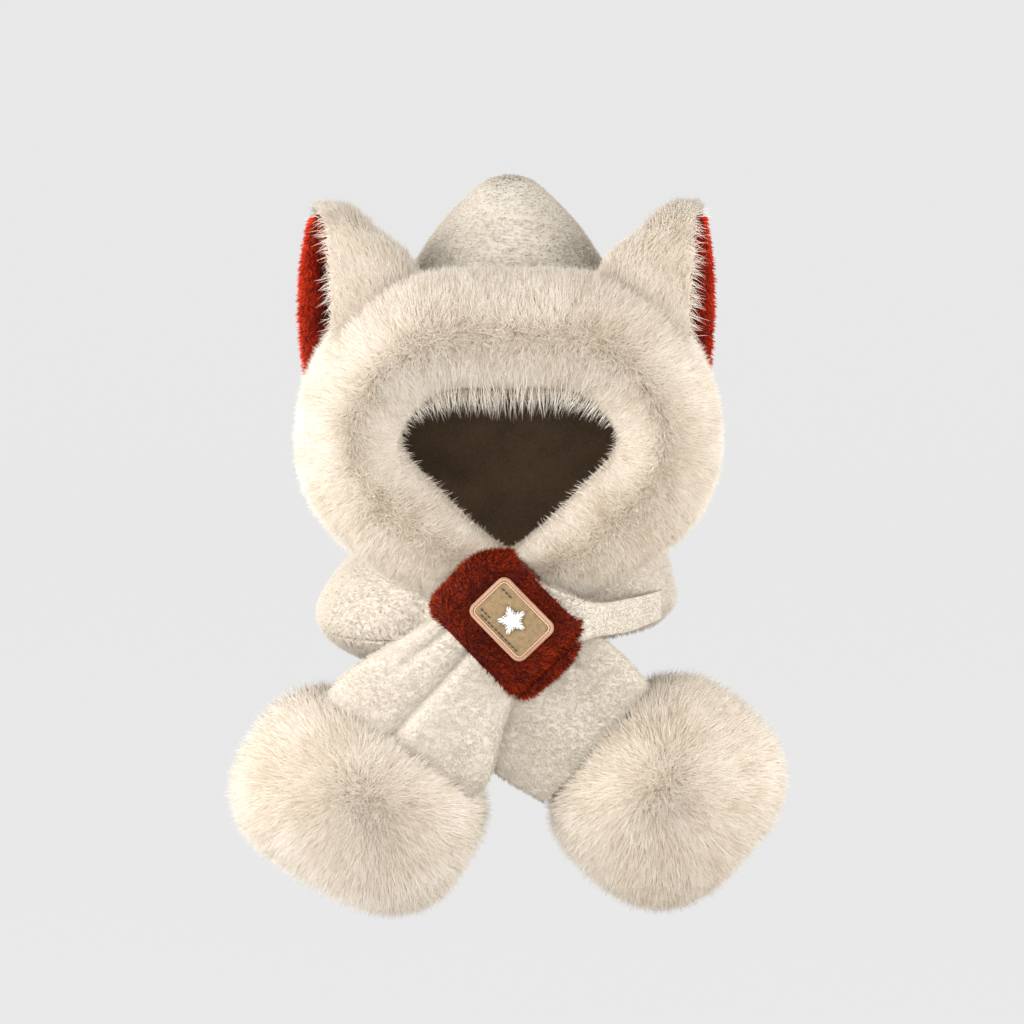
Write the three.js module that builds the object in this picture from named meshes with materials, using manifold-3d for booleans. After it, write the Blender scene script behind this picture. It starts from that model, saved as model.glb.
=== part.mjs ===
// A faux fur hood with animal ears and a scarf in one: a hollow pointed crown, a deep fur ruff round the face,
// two cupped ears, a shoulder collar, and two scarf tails that cross through a red plush loop and end in fur paws.
// Millimetres, Z up. The face looks along -Y, X goes to the viewer's right, and the origin is the inside of the
// crown's top, where the head holds the hood up.
import * as THREE from "three";
import { mergeVertices } from "three/addons/utils/BufferGeometryUtils.js";
import Module from "manifold-3d";

const wasm = await Module();
wasm.setup();

// Thicknesses and gaps
const plushWall = 8.5; // short pile plush with its backing
const liningWall = 2.2;
const pieceGap = 0.3; // between a piece and the one it is sewn to
const cutGrowth = 0.5; // how far a neighbour is swelled before it is cut out of a soft piece
const mergeDistance = 1e-4;
const sliverArea = 1e-4; // faces smaller than this say nothing of a form's slope
const sharpDamping = 0.02; // keeps a swelled edge from shooting out
const mostMitre = 3; // and this is the furthest that it may, in swellings
const furRest = 0.88; // share of the deep fur's reach that the packed under-fur fills

// The crown from its top down: outer half width, front and back of each level, and how square its front half is
const crownTop = liningWall + pieceGap + plushWall;
const crownTopBack = 14;
const leastHalf = 0.8; // an inner level never shrinks below this
const backRoundness = 2.2;
const crownLevels = [
  { z: crownTop - 0.6, halfWidth: 6, front: crownTopBack - 6, back: crownTopBack + 6, squareness: 2.2 },
  { z: 6, halfWidth: 19, front: -7, back: 33, squareness: 2.2 },
  { z: -7, halfWidth: 34, front: -23, back: 49, squareness: 2.2 },
  { z: -28, halfWidth: 53, front: -37, back: 67, squareness: 2.2 },
  { z: -54, halfWidth: 70, front: -52, back: 84, squareness: 2.5 },
  { z: -84, halfWidth: 89, front: -67, back: 97, squareness: 3.2 },
  { z: -120, halfWidth: 106, front: -74, back: 108, squareness: 4.5 },
  { z: -165, halfWidth: 115, front: -74, back: 114, squareness: 6 },
  { z: -205, halfWidth: 113, front: -76, back: 112, squareness: 6 },
  { z: -240, halfWidth: 102, front: -84, back: 103, squareness: 4.5 },
  { z: -268, halfWidth: 92, front: -90, back: 92, squareness: 3.4 },
  { z: -294, halfWidth: 86, front: -93, back: 84, squareness: 2.8 },
];

// The face ruff's middle line, right half from the top to the chin, with its reach outwards and to front and back
const ruffStations = [
  { x: 0, y: -78, z: -101, reach: 43, depth: 47 },
  { x: 58, y: -77, z: -105, reach: 43, depth: 47 },
  { x: 97, y: -72, z: -134, reach: 42, depth: 47 },
  { x: 112, y: -68, z: -174, reach: 38, depth: 47 },
  { x: 104, y: -72, z: -207, reach: 39, depth: 46 },
  { x: 76, y: -80, z: -235, reach: 37, depth: 42 },
  { x: 37, y: -89, z: -262, reach: 30, depth: 35 },
  { x: 0, y: -93, z: -275, reach: 24, depth: 30 },
];
const ruffMiddleHeight = -180; // outwards is away from this height on the middle line
const rollShare = 0.42; // the padded roll's size as a share of the ruff's reach
const faceCutBack = -60; // the crown's wall is open in front of this depth, inside the ruff's middle line

// The ears from the tip down: how far the cup reaches inwards, and its front and back, for the right hand ear
const earLevels = [
  { z: -15, inner: 113, outer: 136, front: -68, back: -46 },
  { z: -22, inner: 103, outer: 150, front: -76, back: -38 },
  { z: -41, inner: 77, outer: 168, front: -84, back: -28 },
  { z: -60, inner: 63, outer: 180, front: -90, back: -22 },
  { z: -85, inner: 55, outer: 188, front: -94, back: -20 },
  { z: -112, inner: 54, outer: 192, front: -96, back: -25 },
  { z: -140, inner: 62, outer: 192, front: -94, back: -37 },
];
const earFurWall = 9;
const earSquareness = 2.4;
const earCupDrop = 1.3; // the hollow's tip lies this many walls below the cup's
const earCupReach = 20; // the hollow is cut this far past the mouth
const earLiningInset = 1.5; // the lining's front edge lies behind the fur's
const earRoll = 8; // degrees by which the red lining's mouth turns past the fur's, so its back edge shows
const earLiningWall = 4;
const earMouthFrontDepth = -80; // where the mouth's plane is measured
const earSides = [
  { side: "left", sign: -1, mouthFront: 126, mouthTurn: 26 },
  { side: "right", sign: 1, mouthFront: 128, mouthTurn: 20 },
];

// The collar from the neck down: reach to the viewer's left and right, front and back
const collarLevels = [
  { z: -256, left: 104, right: 104, front: -84, back: 104 },
  { z: -272, left: 123, right: 116, front: -96, back: 110 },
  { z: -290, left: 137, right: 121, front: -102, back: 117 },
  { z: -304, left: 143, right: 124, front: -105, back: 121 },
  { z: -314.5, left: 141, right: 124, front: -106, back: 122 },
  { z: -316.5, left: 138.5, right: 121.5, front: -104, back: 120 },
  { z: -318.5, left: 139, right: 123, front: -106, back: 121 },
  { z: -328, left: 128, right: 115, front: -103, back: 117 },
  { z: -336, left: 112, right: 101, front: -96, back: 108 },
];
const collarWall = 9;
const collarEndCut = 12; // the hollow is cut this far past both ends
const collarSquareness = 2.3;
const collarTilt = 0.05; // its left hangs lower than its right

// The tails from the shoulder to inside the paw: the middle of each section, its width across, its thickness,
// the direction across it in degrees from +X towards +Z, and how deep its folds are
const frontTailSections = [
  { x: 104, y: -66, z: -302, width: 25, thickness: 12, lean: 90, fold: 0 },
  { x: 86, y: -97, z: -300, width: 27, thickness: 12, lean: 91, fold: 0 },
  { x: 57, y: -137, z: -297, width: 29, thickness: 14, lean: 98, fold: 0 },
  { x: 27, y: -147, z: -291, width: 58, thickness: 18, lean: 124, fold: 0 },
  { x: 2, y: -147, z: -296, width: 76, thickness: 20, lean: 134, fold: 0.6 },
  { x: -22, y: -147, z: -320, width: 80, thickness: 21, lean: 134, fold: 1 },
  { x: -43, y: -143, z: -346, width: 102, thickness: 23, lean: 137, fold: 2.2 },
  { x: -65, y: -135, z: -374, width: 128, thickness: 28, lean: 144, fold: 2.6 },
  { x: -82, y: -126, z: -398, width: 126, thickness: 30, lean: 148, fold: 1.6 },
];
const backTailSections = [
  { x: -84, y: -98, z: -300, width: 46, thickness: 12, lean: 90, fold: 0 },
  { x: -50, y: -118, z: -306, width: 60, thickness: 14, lean: 80, fold: 0 },
  { x: -18, y: -121, z: -324, width: 90, thickness: 15, lean: 62, fold: 0.6 },
  { x: 10, y: -120, z: -347, width: 120, thickness: 16, lean: 51, fold: 1.6 },
  { x: 36, y: -117, z: -368, width: 124, thickness: 20, lean: 48, fold: 2.4 },
  { x: 62, y: -112, z: -390, width: 114, thickness: 26, lean: 48, fold: 1.6 },
];
const foldsAcross = 3;
const tailSquareness = 2.6;
const frontTailRings = 13;
const backTailRings = 9;

// The paws: middle, half length along the tail, half width across it, half thickness, turn of the tail's direction
const paws = [
  { side: "left", x: -106, y: -116, z: -429, halfLength: 65, halfWidth: 86, halfThickness: 46, turn: -121.5 },
  { side: "right", x: 113, y: -102, z: -426, halfLength: 68, halfWidth: 79, halfThickness: 46, turn: -41.5 },
];
const pawSquareness = 2.8;
const pawCrown = 2.2; // how square the paw is from its rim to its middle

// The red loop: a sleeve round the front tail, turned with it
const loopMiddle = { x: 2, y: -147, z: -295 };
const loopTurn = -46; // across the sleeve, degrees from +X
const loopLength = 72;
const loopHalfWidth = 51;
const loopHalfThickness = 18;
const loopWall = 7;
const loopSideWall = 11; // the padding is thicker where the sleeve folds over
const loopSquareness = 2.5;
const loopBulge = 1.2; // the sleeve swells by this at its middle
const loopRim = 7; // how far from each end the rim starts to draw in
const loopRimDraw = 5;
const loopRimRise = 0.5; // the share of the draw that is taken off its thickness
const loopSides = 18;

// The patch, long side across the sleeve
const patchLength = 52;
const patchWidth = 36.5;
const patchCorner = 6;
const patchPlace = { across: -2.1, along: 2.1 };
const borderWidth = 2.6;
const fieldThickness = 1;
const borderThickness = 1.8;
const motifRadius = 10.5;
const motifPoints = 5;
const motifThickness = 1.1;
const motifWaist = 0.55;
const arcSteps = 2; // along each round corner
const longSideSteps = 6;
const holeReach = 8; // the border's hole is cut this far past its thickness

// Number of faces along and around each form
const crownSides = 20;
const neckCutFoot = 20; // the hollow is cut this far past the crown's foot
const ruffSteps = 28;
const ruffTeeth = 44;
const pawTeeth = 26;
const rollSides = 6;
const earCupSides = 12;
const collarSides = 24;
const tailSides = 8; // on each face

const cream = new THREE.MeshStandardMaterial({ color: 0xefe6d6, roughness: 0.95 });
const creamDeep = new THREE.MeshStandardMaterial({ color: 0xf3ebdd, roughness: 0.95 });
const liningBrown = new THREE.MeshStandardMaterial({ color: 0x8d7866, roughness: 0.9 });
const redPlush = new THREE.MeshStandardMaterial({ color: 0xa12a1c, roughness: 0.95 });
const patchKhaki = new THREE.MeshStandardMaterial({ color: 0x9a7d5a, roughness: 0.85 });
const borderTan = new THREE.MeshStandardMaterial({ color: 0xc79a78, roughness: 0.6 });
const feltWhite = new THREE.MeshStandardMaterial({ color: 0xdcd7cd, roughness: 0.9 });

// A column's value between rows, by a smooth curve through all of them; share runs from 0 to 1 down the table
function rowAt(rows, share, closed = false) {
  const spans = closed ? rows.length : rows.length - 1;
  const place = Math.min(Math.max(share, 0), 1) * spans;
  const first = Math.min(Math.floor(place), spans - 1);
  const t = place - first;
  const held = (i) => Math.min(Math.max(i, 0), rows.length - 1);
  const pick = (i) => rows[closed ? (i + rows.length) % rows.length : held(i)];
  const row = {};
  for (const key of Object.keys(rows[0])) {
    const [a, b, c, d] = [pick(first - 1)[key], pick(first)[key], pick(first + 1)[key], pick(first + 2)[key]];
    row[key] = b + 0.5 * t * (c - a + t * (2 * a - 5 * b + 4 * c - d + t * (3 * (b - c) + d - a)));
  }
  return row;
}

// Signed power, which turns a circle into a rounded square
function power(value, squareness) {
  return Math.sign(value) * Math.abs(value) ** (2 / squareness);
}

// A closed solid from points and triangles, turned so that its faces point out
function solidOf(points, faces) {
  let volume = 0;
  for (let i = 0; i < faces.length; i += 3) {
    const [a, b, c] = [points[faces[i]], points[faces[i + 1]], points[faces[i + 2]]];
    volume += a.dot(new THREE.Vector3().crossVectors(b, c));
  }
  const order = volume > 0 ? faces : faces.toReversed();
  const vertProperties = new Float32Array(points.flatMap((p) => p.toArray()));
  return new wasm.Manifold(new wasm.Mesh({ numProp: 3, vertProperties, triVerts: new Uint32Array(order) }));
}

// A closed solid through rings of points with a fan at each end, whose middle may be given
function loft(rings, firstTip, lastTip) {
  const around = rings[0].length;
  const points = rings.flat();
  const faces = [];
  for (let row = 0; row + 1 < rings.length; row += 1) {
    for (let i = 0; i < around; i += 1) {
      const a = row * around + i;
      const b = row * around + ((i + 1) % around);
      faces.push(a, b, b + around, a, b + around, a + around);
    }
  }
  const middle = (ring) => ring.reduce((sum, p) => sum.add(p), new THREE.Vector3()).divideScalar(around);
  const last = (rings.length - 1) * around;
  points.push(firstTip ?? middle(rings[0]), lastTip ?? middle(rings.at(-1)));
  for (let i = 0; i < around; i += 1) {
    const next = (i + 1) % around;
    faces.push(next, i, points.length - 2, last + i, last + next, points.length - 1);
  }
  return solidOf(points, faces);
}

// A closed solid through rings of points that join end to end
function ringLoft(rings) {
  const around = rings[0].length;
  const faces = [];
  for (let row = 0; row < rings.length; row += 1) {
    const after = (row + 1) % rings.length;
    for (let i = 0; i < around; i += 1) {
      const next = (i + 1) % around;
      faces.push(row * around + i, row * around + next, after * around + next);
      faces.push(row * around + i, after * around + next, after * around + i);
    }
  }
  return solidOf(rings.flat(), faces);
}

// A solid from one of three.js's own geometries
function solidFrom(geometry) {
  const bare = geometry.clone();
  bare.deleteAttribute("normal");
  bare.deleteAttribute("uv");
  const merged = mergeVertices(bare, mergeDistance);
  const vertProperties = merged.getAttribute("position").array;
  return new wasm.Manifold(new wasm.Mesh({ numProp: 3, vertProperties, triVerts: merged.getIndex().array }));
}

function geometryOf(solid) {
  const mesh = solid.getMesh();
  const geometry = new THREE.BufferGeometry();
  geometry.setAttribute("position", new THREE.BufferAttribute(new Float32Array(mesh.vertProperties), 3));
  geometry.setIndex(new THREE.BufferAttribute(new Uint32Array(mesh.triVerts), 1));
  return geometry;
}

// The same solid swelled all over by a small distance, to cut it out of a neighbour with a gap: each point moves
// so that all the faces that meet there move out by that distance
function swelled(solid, by = cutGrowth) {
  const geometry = geometryOf(solid);
  const place = geometry.getAttribute("position");
  const index = geometry.getIndex();
  const corners = Array.from({ length: place.count }, (_, i) => new THREE.Vector3().fromBufferAttribute(place, i));
  const sums = corners.map(() => ({ squares: new Array(9).fill(0), normal: new THREE.Vector3() }));
  const face = new THREE.Triangle();
  const normal = new THREE.Vector3();
  for (let i = 0; i < index.count; i += 3) {
    const three = [index.getX(i), index.getX(i + 1), index.getX(i + 2)];
    face.set(...three.map((k) => corners[k]));
    if (face.getArea() < sliverArea) continue;
    face.getNormal(normal);
    const n = normal.toArray();
    for (const k of three) {
      sums[k].normal.add(normal);
      sums[k].squares = sums[k].squares.map((v, cell) => v + n[Math.floor(cell / 3)] * n[cell % 3]);
    }
  }
  sums.forEach(({ squares, normal: total }, i) => {
    const damping = sharpDamping * (squares[0] + squares[4] + squares[8]) + sliverArea;
    const matrix = new THREE.Matrix3().set(...squares.map((v, cell) => (cell % 4 === 0 ? v + damping : v)));
    const move = total.clone().multiplyScalar(by).applyMatrix3(matrix.invert()).clampLength(0, mostMitre * by);
    const p = corners[i].clone().add(move);
    place.setXYZ(i, p.x, p.y, p.z);
  });
  return new wasm.Manifold(new wasm.Mesh({ numProp: 3, vertProperties: place.array, triVerts: index.array }));
}

// The largest loose piece of a solid, which drops the chips that a cut can leave
function mainPiece(solid) {
  return solid.decompose().sort((a, b) => b.volume() - a.volume())[0];
}

function cutBy(solid, neighbours) {
  return mainPiece(neighbours.reduce((rest, neighbour) => rest.subtract(swelled(neighbour)), solid));
}

// A level's ring: half an oval in front and half behind, each with its own squareness
function levelRing({ z, left, right, front, back, squareness }, sides, rear = backRoundness) {
  const middle = (front + back) / 2;
  return Array.from({ length: sides }, (_, i) => {
    const angle = (2 * Math.PI * (i + 0.5)) / sides;
    const n = Math.sin(angle) < 0 ? squareness : rear;
    const across = power(Math.cos(angle), n);
    const x = across < 0 ? across * left : across * right;
    return new THREE.Vector3(x, middle + (power(Math.sin(angle), n) * (back - front)) / 2, z);
  });
}

// Levels moved inwards by a wall's thickness, square to the slope of the side
function inset(levels, wall) {
  return levels.map((level, i) => {
    const above = levels[Math.max(i - 1, 0)];
    const below = levels[Math.min(i + 1, levels.length - 1)];
    const slope = new THREE.Vector2(below.halfWidth - above.halfWidth, below.z - above.z).normalize();
    const inwards = -slope.y * wall;
    return {
      z: level.z - slope.x * wall,
      halfWidth: Math.max(level.halfWidth - inwards, leastHalf),
      front: Math.min(level.front + inwards, crownTopBack - leastHalf),
      back: Math.max(level.back - inwards, crownTopBack + leastHalf),
      squareness: level.squareness,
    };
  });
}

// The crown's form moved in by a distance, filled; a longer foot lets it cut the neck open
function crownForm(wall, foot = 0) {
  const levels = inset(crownLevels, wall);
  const bottom = levels.at(-1);
  if (foot > 0) levels.push({ ...bottom, z: bottom.z - foot });
  const rings = levels.map((level) =>
    levelRing({ ...level, left: level.halfWidth, right: level.halfWidth }, crownSides),
  );
  return loft(rings, new THREE.Vector3(0, crownTopBack, crownTop - wall));
}

// The ruff's middle line as a whole loop of rows, the right half and its mirror
const ruffLoop = [
  ...ruffStations,
  ...ruffStations.slice(1, -1).reverse().map((row) => ({ ...row, x: -row.x })),
];

// A point on the ruff's section: share goes round the face, angle round the section from outwards to the front
function ruffFrame(share) {
  const row = rowAt(ruffLoop, share, true);
  const step = 0.1 / ruffTeeth;
  const before = rowAt(ruffLoop, (share - step + 1) % 1, true);
  const after = rowAt(ruffLoop, (share + step) % 1, true);
  const along = new THREE.Vector3(after.x - before.x, after.y - before.y, after.z - before.z).normalize();
  const outwards = new THREE.Vector3().crossVectors(along, new THREE.Vector3(0, 1, 0)).normalize();
  const forwards = new THREE.Vector3().crossVectors(along, outwards).normalize();
  if (forwards.y > 0) forwards.negate();
  const centre = new THREE.Vector3(row.x, row.y, row.z);
  if (outwards.dot(new THREE.Vector3(row.x, 0, row.z - ruffMiddleHeight)) < 0) outwards.negate();
  return { row, centre, along, outwards, forwards };
}

function ruffPoint(frame, angle, size) {
  return frame.centre
    .clone()
    .addScaledVector(frame.outwards, Math.cos(angle) * frame.row.reach * size)
    .addScaledVector(frame.forwards, Math.sin(angle) * frame.row.depth * size);
}

function ruffTube(size, sides) {
  const rings = Array.from({ length: ruffSteps }, (_, i) => {
    const frame = ruffFrame(i / ruffSteps);
    return Array.from({ length: sides }, (__, j) => ruffPoint(frame, (2 * Math.PI * j) / sides, size));
  });
  return ringLoft(rings);
}

// The ruff's skin worked into strips of locks: each strip runs round the face and ends in a saw-toothed edge over
// the next, combed away from the middle of the front. Angles go from outwards over the front to inwards.
const ruffStrips = [
  { angle: 95, size: 1, sway: 0 },
  { angle: 56, size: 1, sway: 8 },
  { angle: 50, size: furRest, sway: 0 },
  { angle: 12, size: 1, sway: 8 },
  { angle: 4, size: furRest, sway: 0 },
  { angle: -34, size: 1, sway: 8 },
  { angle: -44, size: furRest, sway: 0 },
  { angle: -100, size: furRest, sway: 0 },
  { angle: -150, size: furRest, sway: 0 },
  { angle: -184, size: furRest, sway: 0 },
  { angle: -192, size: 1, sway: -8 },
  { angle: -222, size: furRest, sway: 0 },
  { angle: -229, size: 1, sway: -7 },
];
const toothDepth = 0.045; // how much further every second tip reaches

function ruffFur() {
  const rings = Array.from({ length: ruffTeeth }, (_, i) => {
    const frame = ruffFrame(i / ruffTeeth);
    const tooth = i % 2 ? 1 : -1;
    return ruffStrips.map(({ angle, size, sway }) => {
      const turned = THREE.MathUtils.degToRad(angle - sway * tooth);
      return ruffPoint(frame, turned, size + (sway ? toothDepth * tooth : 0));
    });
  });
  return ringLoft(rings);
}

// An ear's cup moved in by a distance, filled, and cut off at its mouth
function earForm(wall, { sign, mouthFront, mouthTurn }, mouthBack = 0, roll = 0) {
  const rings = earLevels.map(({ z, inner, outer, front, back }) =>
    Array.from({ length: earCupSides }, (_, i) => {
      const angle = (2 * Math.PI * (i + 0.5)) / earCupSides;
      const middle = (inner + outer) / 2;
      const x = middle + power(Math.cos(angle), earSquareness) * Math.max((outer - inner) / 2 - wall, leastHalf);
      const deep = power(Math.sin(angle), earSquareness) * Math.max((back - front) / 2 - wall, leastHalf);
      return new THREE.Vector3(sign * x, (front + back) / 2 + deep, z - wall * earCupDrop);
    }),
  );
  const turn = THREE.MathUtils.degToRad(mouthTurn - roll);
  const mouth = new THREE.Vector3(sign * Math.cos(turn), -Math.sin(turn), 0);
  const edge = new THREE.Vector3(sign * mouthFront, earMouthFrontDepth, 0).addScaledVector(mouth, mouthBack);
  return loft(rings).trimByPlane(mouth.clone().negate().toArray(), -mouth.dot(edge));
}

// A tail through its sections: a flat tube whose front is gathered in folds
function tailForm(sections, rings) {
  const made = Array.from({ length: rings }, (_, i) => {
    const { x, y, z, width, thickness, lean, fold } = rowAt(sections, i / (rings - 1));
    const turn = THREE.MathUtils.degToRad(lean);
    const side = new THREE.Vector3(Math.cos(turn), 0, Math.sin(turn));
    const ring = [];
    for (let j = 0; j < 2 * tailSides; j += 1) {
      const angle = (Math.PI * (j + 0.5)) / tailSides;
      const place = Math.cos(angle);
      const front = Math.sin(angle) < 0;
      const ripple = front ? fold * Math.cos(Math.PI * foldsAcross * place) : 0;
      const depth = (power(Math.sin(angle), tailSquareness) * thickness) / 2 + ripple;
      const reach = (power(place, tailSquareness) * width) / 2;
      ring.push(new THREE.Vector3(x, y + depth, z).addScaledVector(side, reach));
    }
    return ring;
  });
  return loft(made);
}

// A paw: a plump cushion with rounded corners, and locks combed from the middle of its faces to its edge
function pawPoint({ x, y, z, halfLength, halfWidth, halfThickness, turn }, around, rise, size) {
  const angle = THREE.MathUtils.degToRad(turn);
  const alongTail = new THREE.Vector3(Math.cos(angle), 0, Math.sin(angle));
  const acrossTail = new THREE.Vector3(-Math.sin(angle), 0, Math.cos(angle));
  const level = power(Math.cos(rise), pawCrown) * size;
  return new THREE.Vector3(x, y - power(Math.sin(rise), pawCrown) * halfThickness * size, z)
    .addScaledVector(alongTail, power(Math.cos(around), pawSquareness) * halfLength * level)
    .addScaledVector(acrossTail, power(Math.sin(around), pawSquareness) * halfWidth * level);
}

// The paw's strips of locks from the back to the front, combed from the middle of each face to the rim
const pawStrips = [
  { rise: -70, size: furRest, sway: 0 },
  { rise: -34, size: 0.98, sway: 5 },
  { rise: -28, size: furRest, sway: 0 },
  { rise: -2, size: 1.02, sway: 4 },
  { rise: 5, size: furRest + 0.02, sway: 0 },
  { rise: 27, size: 1.02, sway: -5 },
  { rise: 35, size: furRest + 0.02, sway: 0 },
  { rise: 56, size: 1.01, sway: -5 },
  { rise: 66, size: furRest + 0.03, sway: 0 },
];

function pawForm(paw) {
  const rings = pawStrips.map(({ rise, size, sway }) =>
    Array.from({ length: pawTeeth }, (_, i) => {
      const tooth = i % 2 ? 1 : -1;
      const level = THREE.MathUtils.degToRad(rise + sway * tooth);
      return pawPoint(paw, (2 * Math.PI * i) / pawTeeth, level, size + (sway ? toothDepth * tooth : 0));
    }),
  );
  return loft(rings, pawPoint(paw, 0, -Math.PI / 2, furRest), pawPoint(paw, 0, Math.PI / 2, furRest));
}

// The loop's own frame: across the sleeve, towards the wearer, and along the tail
const loopAcross = new THREE.Vector3(1, 0, 0).applyAxisAngle(
  new THREE.Vector3(0, 1, 0),
  THREE.MathUtils.degToRad(-loopTurn),
);
const loopAlong = new THREE.Vector3().crossVectors(loopAcross, new THREE.Vector3(0, 1, 0));

function onLoop(across, depth, along) {
  return new THREE.Vector3(loopMiddle.x, loopMiddle.y + depth, loopMiddle.z)
    .addScaledVector(loopAcross, across)
    .addScaledVector(loopAlong, along);
}

// The sleeve's section moved in by a distance; its rims are rounded by drawing the end rings in
function loopForm(wall, sideWall, halfLength, rims) {
  const rows = [
    { along: -halfLength, draw: rims ? loopRimDraw : 0 },
    ...(rims ? [{ along: -halfLength + loopRim, draw: 0.4 }, { along: 0, draw: -loopBulge }] : []),
    ...(rims ? [{ along: halfLength - loopRim, draw: 0.4 }] : []),
    { along: halfLength, draw: rims ? loopRimDraw : 0 },
  ];
  const rings = rows.map(({ along, draw }) =>
    Array.from({ length: loopSides }, (_, i) => {
      const angle = (2 * Math.PI * (i + 0.5)) / loopSides;
      const across = power(Math.cos(angle), loopSquareness) * (loopHalfWidth - sideWall - draw);
      const half = loopHalfThickness - wall - draw * loopRimRise;
      return onLoop(across, power(Math.sin(angle), loopSquareness) * half, along);
    }),
  );
  return loft(rings);
}

// How far in front of the sleeve's middle its skin is, at a place across it
function loopSkin(across) {
  const share = Math.min(Math.abs(across) / (loopHalfWidth + loopBulge), 1);
  return (loopHalfThickness + loopBulge) * (1 - share ** loopSquareness) ** (1 / loopSquareness);
}

// A flat outline on the patch's plane, extruded, then bent to the sleeve's skin
function onSleeve(shape, lift, thickness) {
  const settings = { depth: thickness, bevelEnabled: false, curveSegments: arcSteps };
  const geometry = new THREE.ExtrudeGeometry(shape, settings);
  const place = geometry.getAttribute("position");
  for (let i = 0; i < place.count; i += 1) {
    const across = place.getX(i) + patchPlace.across;
    const along = place.getY(i) + patchPlace.along;
    const p = onLoop(across, -loopSkin(across) - lift - place.getZ(i), along);
    place.setXYZ(i, p.x, p.y, p.z);
  }
  return solidFrom(geometry);
}

// A rectangle with round corners and enough points on its long sides to bend
function roundedOutline(length, width, corner, bends = longSideSteps) {
  const shape = new THREE.Shape();
  const [halfLength, halfWidth] = [length / 2, width / 2];
  const straight = length - 2 * corner;
  shape.moveTo(-halfLength + corner, -halfWidth);
  for (let i = 1; i <= bends; i += 1) shape.lineTo(-halfLength + corner + (straight * i) / bends, -halfWidth);
  shape.absarc(halfLength - corner, -halfWidth + corner, corner, -Math.PI / 2, 0);
  shape.lineTo(halfLength, halfWidth - corner);
  shape.absarc(halfLength - corner, halfWidth - corner, corner, 0, Math.PI / 2);
  for (let i = 1; i <= bends; i += 1) shape.lineTo(halfLength - corner - (straight * i) / bends, halfWidth);
  shape.absarc(-halfLength + corner, halfWidth - corner, corner, Math.PI / 2, Math.PI);
  shape.lineTo(-halfLength, -halfWidth + corner);
  shape.absarc(-halfLength + corner, -halfWidth + corner, corner, Math.PI, 1.5 * Math.PI);
  return shape;
}

// A plain star with blunt points
function starOutline(radius, points) {
  const shape = new THREE.Shape();
  for (let i = 0; i < 2 * points; i += 1) {
    const angle = (Math.PI * i) / points + Math.PI / 4;
    const reach = i % 2 ? radius * motifWaist : radius;
    if (i === 0) shape.moveTo(Math.cos(angle) * reach, Math.sin(angle) * reach);
    else shape.lineTo(Math.cos(angle) * reach, Math.sin(angle) * reach);
  }
  return shape;
}

// The hood's shell, open at the neck and at the face, with the padded roll round the face
const faceOutline = new THREE.Shape(
  Array.from({ length: ruffSteps }, (_, i) => {
    const { x, z } = rowAt(ruffLoop, i / ruffSteps, true);
    return new THREE.Vector2(x, z);
  }),
);
const cutReach = 160;
const faceCut = solidFrom(
  new THREE.ExtrudeGeometry(faceOutline, { depth: cutReach, bevelEnabled: false })
    .rotateX(Math.PI / 2)
    .translate(0, faceCutBack, 0),
);
const crownShell = crownForm(0).subtract(crownForm(plushWall, neckCutFoot));
const crownSolid = mainPiece(crownShell.subtract(faceCut).add(ruffTube(rollShare, rollSides)));

// The collar hangs from the crown's foot
const collarRings = (wall) =>
  collarLevels.map((level, i) => {
    const ends = i === 0 ? collarEndCut : i === collarLevels.length - 1 ? -collarEndCut : 0;
    const { z, left, right, front, back } = level;
    const moved = { z: z + (wall > 0 ? ends : 0), left: left - wall, right: right - wall };
    const ring = levelRing(
      { ...moved, front: front + wall, back: back - wall, squareness: collarSquareness },
      collarSides,
    );
    return ring.map((p) => p.setZ(p.z + p.x * collarTilt));
  });
const collarOuter = loft(collarRings(0));
const hemLevels = [3, 4, 5]; // the hem's groove is on the outside only
const collarInner = loft(collarRings(collarWall).filter((_, i) => !hemLevels.includes(i)));
const furForm = ruffFur();
const collarSolid = cutBy(collarOuter.subtract(collarInner), [crownForm(0), furForm]);

// The lining lies inside the crown and ends behind the ruff
const liningDepth = plushWall + pieceGap;
const liningHollow = crownForm(liningDepth + liningWall, neckCutFoot);
const liningSolid = cutBy(crownForm(liningDepth).subtract(liningHollow).subtract(faceCut), [furForm, crownSolid]);

// The ears stand on the ruff and against the crown
const ears = earSides.map((ear) => {
  const fur = earForm(0, ear, 0, earRoll).subtract(earForm(earFurWall, ear, earCupReach));
  const redWall = earFurWall + pieceGap;
  const red = earForm(redWall, ear, -earLiningInset).subtract(earForm(redWall + earLiningWall, ear, earCupReach));
  return {
    side: ear.side,
    fur: cutBy(fur, [furForm, crownForm(0)]),
    red: cutBy(red, [furForm, crownForm(0)]),
  };
});

// The tails, the loop that holds the front one, and the paws they end in
const loopHollow = loopForm(loopWall, loopSideWall, loopLength, false);
const loopSolid = mainPiece(loopForm(0, 0, loopLength / 2, true).subtract(loopHollow));
const frontTail = cutBy(tailForm(frontTailSections, frontTailRings), [collarSolid, loopSolid, furForm]);
const backTail = cutBy(tailForm(backTailSections, backTailRings), [collarSolid, loopSolid, furForm, frontTail]);
const tails = { left: frontTail, right: backTail };
const pawSolids = paws.map((paw) => ({
  side: paw.side,
  solid: cutBy(pawForm(paw), [tails[paw.side], collarSolid, tails[paw.side === "left" ? "right" : "left"]]),
}));

// The ruff's fur has the roll and the crown's edge inside it
const ruffSolid = cutBy(furForm, [crownSolid]);

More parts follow.
